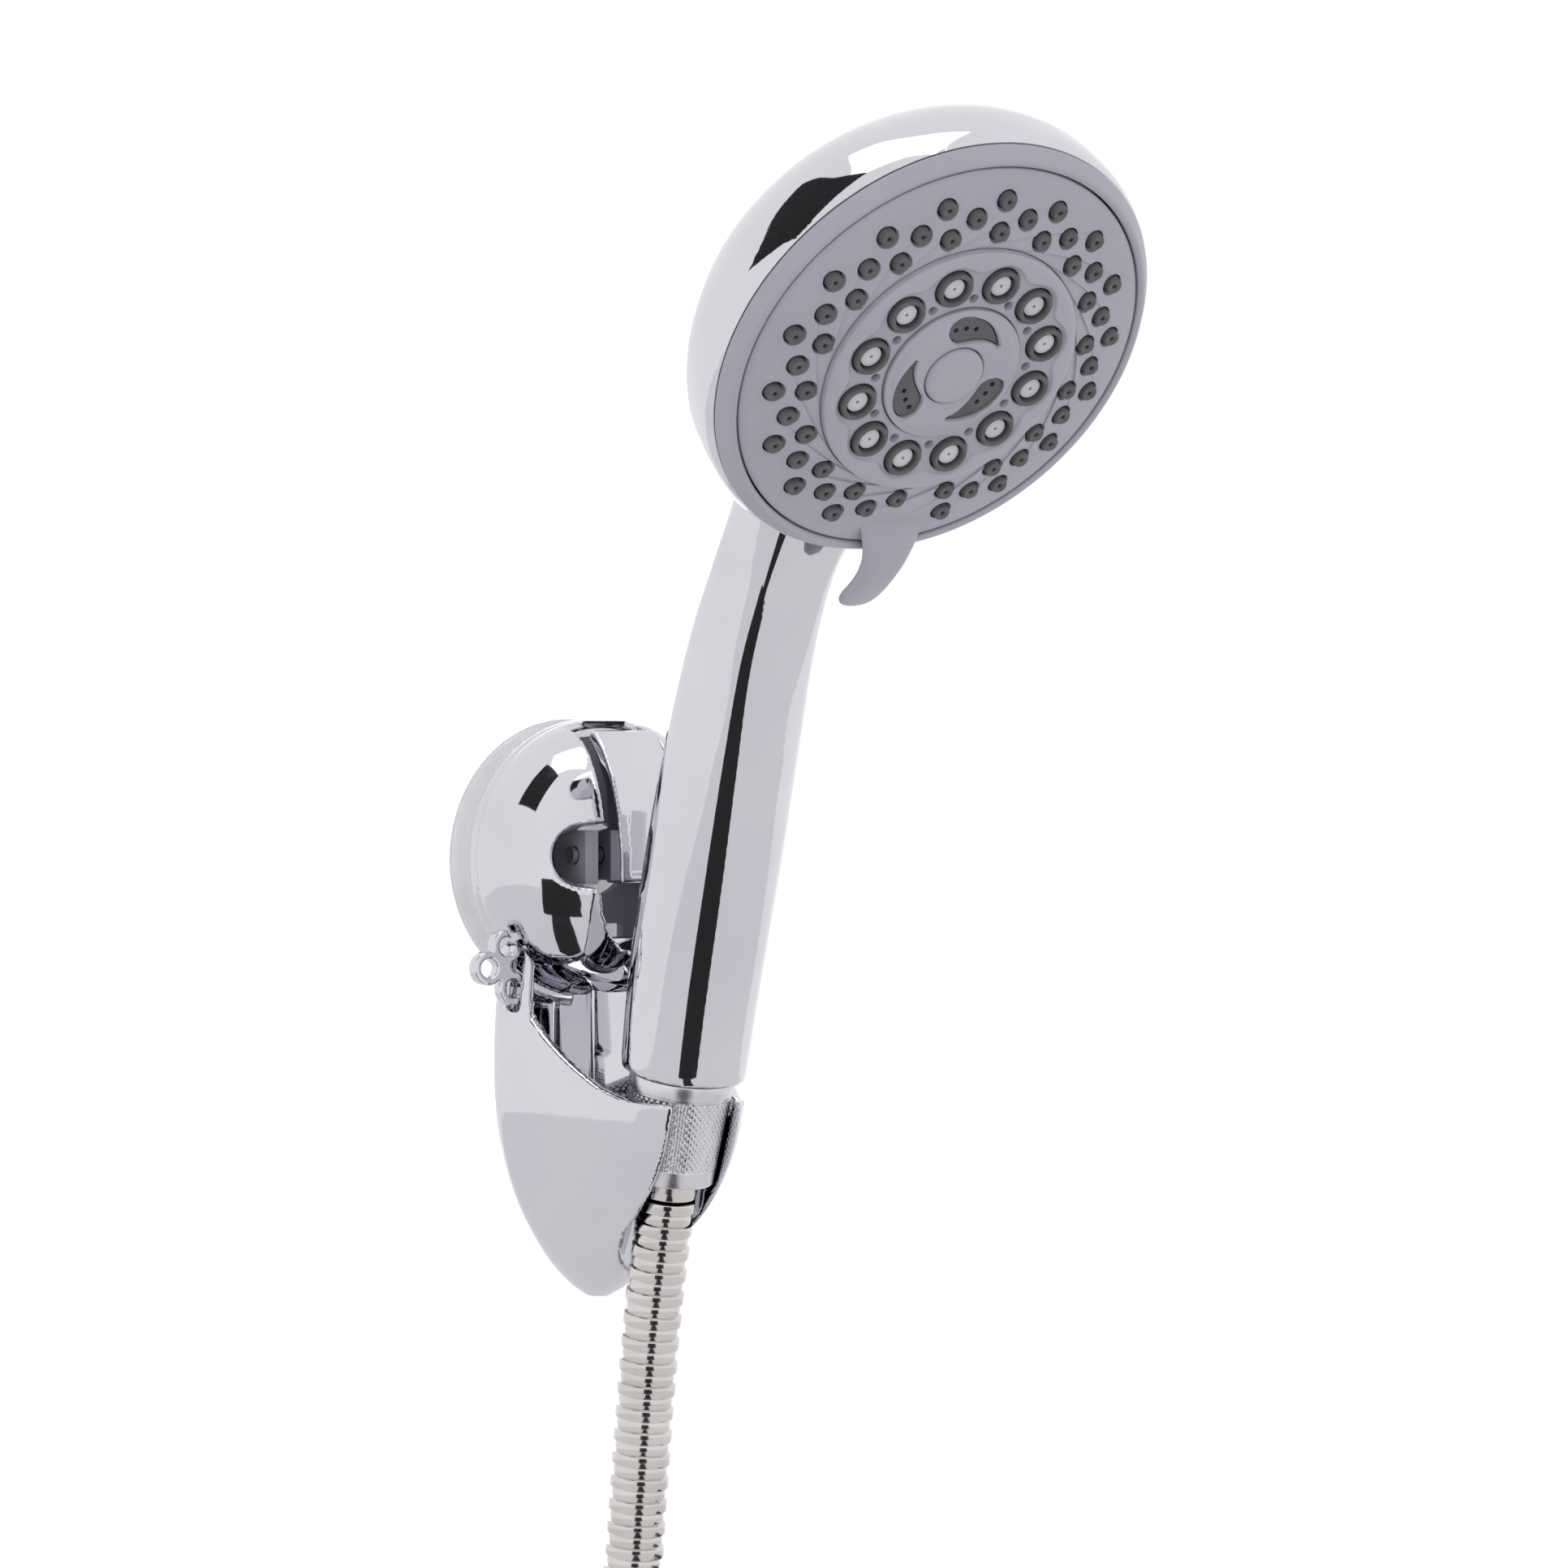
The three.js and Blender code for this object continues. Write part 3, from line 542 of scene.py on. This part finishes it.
def tie(name, side):
    """A soft rubber band round the coil's turns."""
    near = COIL_FIRST - HOSE_RADIUS
    far = COIL_FIRST + COIL_PITCH * COIL_TURN / 360 + HOSE_RADIUS
    low, high = COIL_RADIUS - HOSE_RADIUS, COIL_RADIUS + HOSE_RADIUS
    rings = []
    for x, grow in ((-5, 1.5), (-4.4, 2.3), (0, 2.5), (4.4, 2.3), (5, 1.5)):
        outer = rounded([(near - grow, low - grow), (far + grow, low - grow),
                         (far + grow, high + grow), (near - grow, high + grow)], 4, 6)
        rings.append([(COIL_X + x, -a, COIL_Z + side * b) for a, b in outer])
    for x in (5, -5):
        inner = rounded([(near - 0.45, low - 0.45), (far + 0.45, low - 0.45),
                         (far + 0.45, high + 0.45), (near - 0.45, high + 0.45)], 3, 6)
        rings.append([(COIL_X + x, -a, COIL_Z + side * b) for a, b in inner])
    rings.append(rings[0])
    return build(name, lofted(rings, capped=False), sharp=40)


for tie_name, side, node in (("tie_band_upper", 1, "coil_tie_upper"),
                             ("tie_band_lower", -1, "coil_tie_lower")):
    band = tie(tie_name, side)
    work = bmesh.new()
    work.from_mesh(band.data)
    bmesh.ops.remove_doubles(work, verts=work.verts, dist=1e-6)
    work.to_mesh(band.data)
    work.free()
    show(band, "hose", "black_rubber", node)


# ---------------------------------------------------------------- handset: plated shell
# Handle sections: [forward, up, half width, half depth, squareness]
HANDLE = [
    (0, 0, 14.4, 14.4, 2), (0, 1.2, 15, 15, 2), (-0.2, 23.5, 15.8, 15.8, 2),
    (1.2, 53.8, 15.9, 15.9, 2.1), (3, 79.7, 15, 15, 2.35), (5.6, 103.7, 13.6, 13.4, 2.75),
    (9.8, 121.5, 12.6, 12.2, 3.1), (14, 133.3, 13, 11.8, 3.2), (20, 145, 15.2, 12, 3.1),
    (28, 156, 19, 11.5, 2.8), (38, 166, 22, 10, 2.5),
]
WATERWAY = [(0, 8), (0.6, 30), (1.4, 54), (3.2, 80), (6, 104), (10.5, 122), (15.5, 135),
            (21, 145), (26, 158)]
HEAD_OUTSIDE = [(54.5, -9.3), (55.3, -11.5), (55.6, -15.5), (54.9, -22), (52, -28.5),
                (47, -34.5), (39, -40.3), (28, -44.6), (15, -47.4), (0, -48.3)]


def handset_shell():
    crown = [tuple(p) for p in flowed(HEAD_OUTSIDE, 6)]
    crown[-1] = (0, -48.3)
    head = build("head", turned([(0, -8)] + [(54.3, -8)] + crown, 192), FACE)
    handle = build("handset_chrome_shell", limb(HANDLE), HANDSET)
    boolean(handle, [head], "UNION")
    softened(handle, 0.8, 10)
    inside = [(0, -6), (52, -6), (52, -12), (52.4, -21.5), (49.6, -27), (45, -32.2),
              (37.5, -37.8), (27, -42), (15, -44.7), (0, -45.4)]
    cavity = build("cavity", turned(inside, 96), FACE)
    front = build("front", block((-80, -80, -9.1), (80, 80, 60)), FACE)
    path = [Vector((0, -forward, up)) for forward, up in WATERWAY]
    bore = build("bore", lofted(tube_rings(path, 7.1, 24)), HANDSET)
    entry = build("entry", rod(10.7, -3, 9), HANDSET)
    return boolean(handle, [cavity, front, bore, entry], sharp=38)


def tube_rings(path, radius, sides):
    rings = []
    for i, spot in enumerate(path):
        along = (path[min(i + 1, len(path) - 1)] - path[max(i - 1, 0)]).normalized()
        other = along.cross(Vector((1, 0, 0)))
        rings.append([spot + Vector((1, 0, 0)) * c + other * s
                      for c, s in (circle_point(radius, 360 * k / sides) for k in range(sides))])
    return rings


show(handset_shell(), "handset", "chrome", "handset_shell")
TUBE_RADIUS = 6.8
sections = [(f, u, TUBE_RADIUS, TUBE_RADIUS, 2) for f, u in WATERWAY[:8]]
waterway = build("waterway_tube", limb(sections, 40, 4), HANDSET)
show(waterway, "handset", "white_plastic", "handle_waterway")


# ---------------------------------------------------------------- spray face
def surface_at(radius):
    return -2 - (max(radius - 32, 0) / 17.9) ** 1.35 * 3.6


bezel = build("bezel_band", turned(rounded([
    (50.3, -5.9), (50.6, -5.5), (51.4, -5.3), (52, -5.6), (54.2, -8.5), (54.2, -9), (51.6, -9),
    (51.6, -16), (50.3, -16),
], 0.25), 256), FACE)
show(bezel, "handset", "grey_plastic", "bezel_ring")

NOZZLE_CIRCLES = ((35.7, 3), (39.3, 13), (43, 3))
NOZZLE_COUNT = 18
PETALS = 18


def nozzle_places():
    places = []
    for k, (radius, offset) in enumerate(NOZZLE_CIRCLES):
        for i in range(NOZZLE_COUNT):
            if i or not k:
                places.append(circle_point(radius, -90 + offset + 360 * i / NOZZLE_COUNT))
    return places


def petal_grid():
    """The plate's face in swirled columns: each petal rises to a ridge that fades outwards."""
    shares = [0, 0.1, 0.2, 0.3, 0.4, 0.5, 0.6, 0.7, 0.78, 0.85, 0.91, 0.955, 0.98]
    columns = [(k + share) for k in range(PETALS) for share in shares]
    rings = []
    steps = 26
    sweep, ridge = 58, 0.68
    for i in range(steps + 1):
        t = i / steps
        radius = 31.9 + 13.1 * t * t
        swirl = sweep * t
        fade = (1 - t * t) ** 1.3 * min(1, 0.15 + 2 * t)
        ring = []
        for column in columns:
            share = column % 1
            rise = share if share < 0.96 else (1 - share) * 24
            degrees = 90 - (360 / PETALS) * column - swirl
            x, y = circle_point(radius, degrees)
            ring.append((x, y, surface_at(radius) + ridge * fade * rise))
        rings.append(ring)
    angles = [90 - (360 / PETALS) * column - sweep for column in columns]
    for radius in (46, 47.5, 48.8, 49.3, 49.62, 49.8):
        drop = 0 if radius < 49 else 0.35 * ((radius - 48.8) / 1.0) ** 2
        rings.append([(*circle_point(radius, a), surface_at(radius) - drop) for a in angles])
    for radius, z in ((49.9, -6.3), (49.9, -13.8), (49.7, -14), (47.6, -14), (47.4, -13.8),
                      (47.4, surface_at(47.4) - 2.4)):
        rings.append([(*circle_point(radius, a), z) for a in angles])
    inner = [90 - (360 / PETALS) * column for column in columns]
    rings.append([(*circle_point(32, a), surface_at(32) - 2.4) for a in inner])
    rings.append(rings[0])
    return rings


TAB_TURN = 7
TAB = [(40, -7.5, 9.2, 0.8, 2.6), (44, -5, 8.4, 1.3, 2.6), (48, -3.5, 7.2, 1.55, 2.6),
       (52, -3, 6.1, 1.75, 2.6), (56, -3.5, 5.4, 1.9, 2.6), (60, -4.7, 5, 1.95, 2.6),
       (64, -6.4, 4.9, 1.9, 2.6), (67.4, -8.2, 4.7, 1.8, 2.6), (69.6, -9.4, 3.9, 1.5, 2.4),
       (70.5, -9.9, 2, 0.9, 2)]


def welded(obj, sharp=35):
    work = bmesh.new()
    work.from_mesh(obj.data)
    bmesh.ops.remove_doubles(work, verts=work.verts, dist=2e-6)
    bmesh.ops.recalc_face_normals(work, faces=work.faces)
    work.to_mesh(obj.data)
    work.free()
    shade(obj.data, sharp)
    return obj


def face_plate():
    plate = welded(build("selector_plate", lofted(petal_grid(), capped=False), FACE), 24)
    turn = Matrix.Rotation(math.radians(TAB_TURN), 4, "Z")
    tab = build("tab", limb(TAB, 48, 6), FACE @ turn)
    boolean(plate, [tab], "UNION")
    holes = []
    for x, y in nozzle_places():
        z = surface_at(math.hypot(x, y))
        hole = turned([(0, z - 8), (2.45, z - 8), (2.45, z - 0.45), (2.7, z + 0.05),
                       (2.9, z + 1.5), (0, z + 1.5)], 36)
        holes.append(moved(hole, x, y))
    cutter = build("holes", gathered(holes), FACE)
    return boolean(plate, [cutter], sharp=24)


show(face_plate(), "selector", "grey_plastic", "face_plate")


def nozzle_mat():
    shapes = []
    for x, y in nozzle_places():
        z = surface_at(math.hypot(x, y))
        stub = turned([(0, z - 1.4), (0.45, z - 1.4), (0.48, z + 0.95), (0.6, z + 1.12),
                       (1.25, z + 1.3), (1.68, z + 1.22), (1.9, z + 0.95), (1.98, z - 0.6),
                       (2.4, z - 3.2), (0, z - 3.2)], 32)
        shapes.append(moved(stub, x, y))
    web = [(33.2, surface_at(33.2) - 2.55), (46.8, surface_at(46.8) - 2.55),
           (46.8, surface_at(46.8) - 3.7), (33.2, surface_at(33.2) - 3.7)]
    mat = build("nozzle_rubber", gathered(shapes), FACE, 40)
    return boolean(mat, [build("web", turned(rounded(web, 0.3), 96), FACE)], "UNION", 40)


show(nozzle_mat(), "selector", "dark_rubber", "nozzle_mat")

MASSAGE_RADIUS = 23.4
MASSAGE = [circle_point(MASSAGE_RADIUS, -97.5 + 30 * i) for i in range(12)]
SMALL_HOLES = [circle_point(19.6, -82.5 + 30 * i) for i in range(12)]


def mid_ring():
    """The massage ring's cover: a raised band round a scalloped recess."""
    columns = 360
    angles = [360 * i / columns for i in range(columns)]

    def edge(degrees):
        wave = 0.5 + 0.5 * math.cos(math.radians(12 * (degrees + 97.5)))
        return 26.5 + 2.3 * wave ** 0.75

    rings = [[(*circle_point(r, a), z) for a in angles]
             for r, z in ((17.2, -2.4), (17.2, -0.7), (17.35, -0.5), (18.2, -0.45))]
    for share in (0.5, 1):
        rings.append([(*circle_point(18.2 + (edge(a) - 0.7 - 18.2) * share, a), -0.45)
                      for a in angles])
    for offset, z in ((-0.4, -0.4), (-0.15, -0.22), (0.1, 0.02), (0.4, 0.12), (0.9, 0.12)):
        rings.append([(*circle_point(edge(a) + offset, a), z) for a in angles])
    for r, z in ((30.2, 0.02), (30.9, -0.2), (31.5, -0.5), (31.7, -1), (31.7, -4.1),
                 (30.3, -4.1), (29.4, -2.5), (18, -2.5)):
        rings.append([(*circle_point(r, a), z) for a in angles])
    rings.append(rings[0])
    ring = welded(build("massage_cover", lofted(rings, capped=False), FACE), 30)
    cuts = [moved(turned([(0, -8), (4.6, -8), (4.6, -0.75), (4.95, -0.35), (5.1, 2), (0, 2)], 40),
                  x, y) for x, y in MASSAGE]
    cuts += [moved(turned([(0, -8), (0.75, -8), (0.75, -1.5), (1.2, -0.45), (1.3, 0.5),
                           (0, 0.5)], 24), x, y) for x, y in SMALL_HOLES]
    return boolean(ring, [build("cuts", gathered(cuts), FACE)], sharp=30)


show(mid_ring(), "selector", "grey_plastic", "mid_ring")

sleeves = [moved(turned(rounded([(3.1, -3.6), (4.25, -3.6), (4.25, 0.9), (3.1, 0.9)], 0.5), 40),
                 x, y) for x, y in MASSAGE]
web = turned([(18, -2.9), (28.8, -2.9), (28.8, -4), (18, -4)], 96)
massage_mat = boolean(build("massage_rubber", gathered(sleeves), FACE),
                      [build("web", web, FACE)], "UNION")
bores = [moved(rod(3.1, -6, 3, sides=40), x, y) for x, y in MASSAGE]
show(boolean(massage_mat, [build("bores", gathered(bores), FACE)], sharp=40),
     "selector", "dark_rubber", "massage_mat")

pins = [moved(turned([(0, -0.9), (0.38, -0.9), (0.4, -0.2), (0.55, -0.15), (2.1, -0.15),
                      (2.5, -0.3), (2.6, -0.65), (2.6, -5), (0, -5)], 36), x, y)
        for x, y in MASSAGE]
carrier = turned([(18, -4.4), (28.8, -4.4), (28.8, -5.8), (18, -5.8)], 96)
show(boolean(build("massage_cups", gathered(pins), FACE, 40), [build("carrier", carrier, FACE)],
             "UNION", 40), "selector", "white_plastic", "massage_pins")


def comma(start, inset, steps=28):
    """A comma: a round head that narrows to a tail along its circle."""
    outer, inner = [], []
    for i in range(steps + 1):
        t = i / steps
        half = 0.35 + 3.35 * math.sin(math.pi / 2 * min(t * 1.25, 1)) ** 1.3
        if t > 0.78:
            half *= math.sqrt(max(1 - ((t - 0.78) / 0.22) ** 2, 0.0))
        half = max(half - inset, 0.12)
        degrees = start - 38 + inset * 2.5 + (76 - inset * 5) * t
        outer.append(circle_point(11.9 + half, degrees))
        inner.append(circle_point(11.9 - half * 0.92, degrees))
    return outer + inner[::-1]


STARTS = [52 - 90, 172 - 90, 292 - 90]


def centre_disc():
    disc = build("centre_plate", turned(rounded([
        (7.4, 0.95), (14.7, 0.95), (15.3, 0.75), (15.9, 0.45), (17, 0.35), (17, -1.6),
        (7.4, -1.6)], 0.35), 160), FACE)
    cuts = [prism(comma(start, 0), -4, 4) for start in STARTS]
    lips = [prism(comma(start, -0.3), 0.75, 4) for start in STARTS]
    return boolean(disc, [build("cuts", gathered(cuts), FACE),
                          build("lips", gathered(lips), FACE)], sharp=35)


show(centre_disc(), "selector", "grey_plastic", "centre_disc")


def comma_insert():
    bosses = [prism(comma(start, 0.3), -2.4, 0.25) for start in STARTS]
    body = build("comma_rubber", gathered(bosses), FACE)
    back = build("back", turned([(7.4, -1.9), (16.6, -1.9), (16.6, -3.6), (7.4, -3.6)], 96), FACE)
    boolean(body, [back], "UNION")
    holes = []
    for start in STARTS:
        for degrees in (start + 3, start + 15.5, start + 28):
            x, y = circle_point(12.1, degrees)
            holes.append(moved(rod(0.64, -1.8, 2, sides=20), x, y))
    return boolean(body, [build("holes", gathered(holes), FACE)], sharp=35)


show(comma_insert(), "selector", "dark_rubber", "comma_insert")
cap = build("centre_button", turned(
    [(0, 2.15), (5, 2.1), (6.1, 2.0), (6.7, 1.7), (7.08, 1.25), (7.15, 0.8), (7.1, -1.2),
     (0, -1.2)], 128), FACE)
show(cap, "selector", "grey_plastic", "centre_cap")

# ---------------------------------------------------------------- wall bracket
cup = build("suction_cup_moulded", turned(rounded([
    (0, 0.5), (12, 0.1), (30, 0.25), (34.2, 0), (34.2, 0.7), (33.4, 1.3), (31.2, 2.3),
    (30.4, 3.2), (29, 3.7), (14, 7.4), (8.4, 9.4), (6.4, 9.4), (6.4, 2.3), (0, 2.3),
], 0.6), 160), WALL)
show(cup, "bracket", "clear_vinyl", "suction_cup")

DOME = [(34.2, 9), (34.3, 14), (33.6, 20), (31, 25.6), (27, 29.6), (20, 33.6), (10, 36.9),
        (0, 38)]
LEVER_HALF = 8.6
AXLE_OUT, AXLE_UP = 25, 1


def capsule(radius, half, y, z, sides=40):
    """A rod along x with round ends."""
    profile = [(0, -half)]
    profile += [(radius * math.cos(math.radians(a)), -half + radius + radius * math.sin(
        math.radians(a))) for a in range(-80, 1, 10)]
    profile += [(r, -q) for r, q in profile[::-1]]
    points, faces = turned(profile, sides)
    return [(p[2], p[0] + y, p[1] + z) for p in points], faces


def base_dome():
    crown = [tuple(p) for p in flowed(DOME, 5)]
    crown[-1] = (0, 38)
    rim = [(31.9, 9), (33.9, 9), (34.2, 9.3), (34.2, 11.4), (33.7, 11.8), (33.7, 12.6),
           (34.25, 13)]
    outside = rim + [p for p in crown if p[1] > 13.2]
    inside = [(max(r - 2.4, 0), out - 2.4 * (out - 9) / 29) for r, out in crown[::-1]]
    dome = build("dome_chrome", turned(outside + inside, 160), WALL)
    cuts = [block((-LEVER_HALF - 3, -9, 16), (LEVER_HALF + 0.8, 33.4, 45)),
            moved(capsule(8, 25, 1, 36), -1, 0)]
    lower = [(15.5, -4), (12.5, -8.5), (11.5, -13), (9, -18), (5, -21.5), (0, -22.6)]
    lower += [(-x, y) for x, y in lower[-2::-1]]
    cuts.append(prism(lower, 24, 50))
    cuts.append(block((-7.3, -50, 11.7), (7.3, -16, 22.3)))
    for cut in cuts:
        boolean(dome, [build("cut", cut, WALL)])
    return softened(dome, 0.55, 5)


show(base_dome(), "bracket", "chrome", "base_dome")


def lever():
    outline = [(37.9, -5.6), (37.8, 2), (36.5, 10.5), (33.4, 20), (29.4, 26.8), (25.6, 31),
               (24, 31.2), (22.8, 29.4), (26.4, 24.8), (30, 18), (31.4, 9), (30.4, -2), (31, -5.6)]
    body = build("suction_lever_chrome", slab(outline, LEVER_HALF))
    parts = [build("web", slab([(24, -5), (33, -5), (33, 8), (24, 6.5)], LEVER_HALF))]
    axis = Matrix.Translation((0, -AXLE_OUT, AXLE_UP)) @ Matrix.Rotation(math.pi / 2, 4, "Y")
    parts.append(build("boss", rod(6, -LEVER_HALF, LEVER_HALF, sides=64), axis))
    boolean(body, parts, "UNION")
    thumb = [(x, y) for x, y in ((5.6, -3.4), (5.6, 12))]
    thumb += [(5.6 * math.cos(math.radians(a)), 12 + 5.6 * math.sin(math.radians(a)))
              for a in range(10, 171, 10)]
    thumb += [(-5.6, 12), (-5.6, -3.4)]
    recess = build("recess", prism(thumb, 0, 10), WALL @ Matrix.Translation(
        (0, 0, 34.3)) @ Matrix.Rotation(math.radians(9), 4, "X"))
    fork = build("fork", slab([(10, -8), (22.5, -8), (30, 0), (22.5, 12), (10, 12)], 3.4))
    boolean(body, [recess, fork])
    softened(body, 0.4, 3)
    return boolean(body, [build("bore", rod(2.3, -20, 20, sides=48), axis)], sharp=40)


show(lever(), "lever", "chrome", "suction_lever")


LUG_OUT = 20


def peel_lug():
    lobes = [(-35.8, -26), (-30.6, -20.8), (-28.8, -31)]
    centre = (-32, -26)
    low, high = LUG_OUT - 1.5, LUG_OUT + 1.5
    body = build("peel_lug_chrome", turned(rounded(
        [(0, low), (2.6, low), (2.6, high), (0, high)], 0.3), 32),
        WALL @ Matrix.Translation((*centre, 0)))
    parts = []
    for x, y in lobes:
        parts.append(build("eye", rod(4.1, low, high, x, y, 48), WALL))
        reach = math.hypot(x - centre[0], y - centre[1])
        turn = Matrix.Rotation(math.atan2(y - centre[1], x - centre[0]), 4, "Z")
        bar = block((0, -2.3, low), (reach, 2.3, high))
        parts.append(build("bar", bar, WALL @ Matrix.Translation((*centre, 0)) @ turn))
    for part in parts:
        boolean(body, [part], "UNION")
    holes = [build("hole", rod(2.25, low - 5, high + 5, x, y, 40), WALL) for x, y in lobes]
    holes.append(build("room", rod(34.9, 0, 60, sides=96), WALL))
    for hole in holes:
        boolean(body, [hole])
    return softened(body, 0.3, 4)


show(peel_lug(), "bracket", "chrome", "peel_lug")

CRADLE = [
    (-107, 2.5, 2.5, 13.5, 1.5, 15), (-104, 7, 6, 14, 4, 19), (-99, 12.6, 9.5, 15, 7, 24.5),
    (-92, 18, 11.5, 15.5, 10.5, 31.5), (-82, 23.8, 13, 16, 13.4, 40),
    (-70, 27.8, 13.8, 16, 15.6, 45.5), (-57, 30, 14, 16, 16.2, 49), (-40, 30, 14, 16, 16.2, 53),
    (-18, 28, 14, 16, 15, 56),
]


def cradle_ring(station, inset, sides=96):
    height, half, depth, back, front, ahead = station
    w, q, r = (max(size - inset, 0.5) for size in (half, depth, front))
    ring = []
    for i in range(sides):
        c, s = circle_point(1, 360 * i / sides)
        rear = math.hypot(w * c, q * s)
        if rear + back * s > r + ahead * s:
            x, out = w * w * c / rear, back + q * q * s / rear
        else:
            x, out = r * c, ahead + r * s
        ring.append((x, -out, height))
    return ring


def cradle():
    body = build("cradle_chrome", lofted([cradle_ring(s, 0) for s in flowed(CRADLE, 5)]))
    floor = [(-60, 29.5, 14, 16, 16.1, 48.3)] + CRADLE[6:]
    hollow = build("hollow", lofted([cradle_ring(s, 2.6) for s in flowed(floor, 5)]))
    edge = [(24, -10), (24, -34), (27, -40), (33, -46), (40, -51.5), (46, -55), (57, -57.5),
            (90, -58)]
    scoop = build("scoop", slab([tuple(p) for p in flowed(edge, 4)] + [(90, -10)], 60))
    dome_room = build("room", rod(34.5, -5, 70, sides=128), WALL)
    root = build("root", lofted([cradle_ring(s, 0) for s in flowed(CRADLE, 5)]))
    boolean(root, [build("root_box", block((-7, -22, -60.5), (7, -5, -35.2)))], "INTERSECT")
    boolean(body, [hollow])
    boolean(body, [scoop])
    boolean(body, [root], "UNION")
    boolean(body, [dome_room])
    socket = build("socket", turned([
        (0, 6), (13.6, 6), (13.4, -1), (13.1, -4), (11.2, -27.4), (9.4, -27.4), (9.4, -60),
        (0, -60)], 96), HANDSET)
    slot = build("slot", block((-9.2, -80, -62), (9.2, 0, 10)), HANDSET)
    lug_room = build("lug_room", block((-42, -LUG_OUT - 1.8, -36.5), (-22, -LUG_OUT + 1.8, -15)))
    for tool in (socket, slot, lug_room):
        boolean(body, [tool])
    boolean(body, [build("neck", block((-7, -22, -47), (7, -12, -19)))], "UNION")
    return softened(body, 0.6, 5)


show(cradle(), "bracket", "chrome", "cradle")

# ---------------------------------------------------------------- CAD nodes that stay
KEPT = {
    "base_frame": "grey_plastic", "lever_axle": "hose_steel", "pull_stud": "white_plastic",
    "inlet_thread": "brass", "inlet_filter": "hose_steel", "flow_restrictor": "grey_plastic",
    "hose_washer": "black_rubber", "manifold_plate": "white_plastic",
    "head_o_ring": "black_rubber", "diverter_seal": "black_rubber",
    "centre_screw": "hose_steel", "spray_chamber": "white_plastic",
    "face_pivot": "white_plastic", "diverter_disc": "white_plastic",
    "massage_turbine": "white_plastic",
}
for node, slot in KEPT.items():
    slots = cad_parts[node].material_slots
    for entry in slots:
        entry.material = FINISHES[slot]

# ---------------------------------------------------------------- studio
world = bpy.data.worlds.new("studio")
world.use_nodes = True
sky = world.node_tree.nodes["Background"]
sky.inputs["Color"].default_value = (1, 1, 1, 1)
sky.inputs["Strength"].default_value = 1.0
bpy.context.scene.world = world
bpy.context.scene.view_settings.view_transform = "Standard"


def flat_material(name, colour, strength=0.0):
    material, _, shader = nodes_of(name)
    shader.inputs["Base Color"].default_value = (*colour, 1)
    shader.inputs["Roughness"].default_value = 0.8
    shader.inputs["Emission Color"].default_value = (*colour, 1)
    shader.inputs["Emission Strength"].default_value = strength
    return material


floor_points, floor_faces = turned([(0, 0), (1100, 0)], 96)
floor = build("floor", (floor_points, floor_faces[:96]), Matrix.Translation(
    (0, 0, cad_box[0][2] / MM - 0.5)))
floor.data.materials.append(flat_material("floor_paint", (0.82, 0.82, 0.83)))


def card(name, centre, size, aim, shade_level, strength=0.0):
    """A studio card seen only in reflections: centre and aim in metres, size in metres."""
    half_w, half_h = size[0] / 2, size[1] / 2
    mesh = bpy.data.meshes.new(name)
    mesh.from_pydata([(-half_w, -half_h, 0), (half_w, -half_h, 0), (half_w, half_h, 0),
                      (-half_w, half_h, 0)], [], [(0, 1, 2, 3)])
    obj = linked(name, mesh)
    obj.location = centre
    obj.rotation_mode = "QUATERNION"
    obj.rotation_quaternion = (Vector(aim) - Vector(centre)).to_track_quat("Z", "Y")
    level = (shade_level,) * 3
    mesh.materials.append(flat_material(name + "_paint", level, strength))
    obj.visible_camera = obj.visible_diffuse = obj.visible_shadow = False
    obj.visible_transmission = False
    return obj


def toward(spot, side, rise, distance):
    """A point seen from a spot, at degrees to the right of the camera and above the horizon."""
    turn, lift = math.radians(CAMERA_SIDE + side), math.radians(rise)
    away = Vector((math.sin(turn) * math.cos(lift), -math.cos(turn) * math.cos(lift),
                   math.sin(lift)))
    return Vector(spot) + away * distance


HANDLE_SPOT = (0, -0.066, 0)
HEAD_SPOT = (-0.03, -0.12, 0.13)
low_front = toward(HANDLE_SPOT, 6, -25.5, 0.5)
card("dark_card_front", low_front, (0.27, 0.22), HANDLE_SPOT, 0.008)
card("dark_card_low", toward((0, -0.05, -0.342), 6, 0, 0.29), (0.13, 0.36),
     toward((0, -0.05, 1), 6, 0, 0.29), 0.008).rotation_quaternion = (
    Matrix.Rotation(math.radians(CAMERA_SIDE + 6), 4, "Z").to_quaternion())
card("dark_card_side", toward(HEAD_SPOT, -56, 42, 0.3), (0.26, 0.24), HEAD_SPOT, 0.012)
card("bright_card_top", toward(HEAD_SPOT, 0, 78, 0.8), (0.6, 0.5), HEAD_SPOT, 1.0, 1.7)
card("bright_card_back", toward(HANDLE_SPOT, -168, 6, 1.0), (0.35, 0.5), HANDLE_SPOT, 1.0, 1.6)
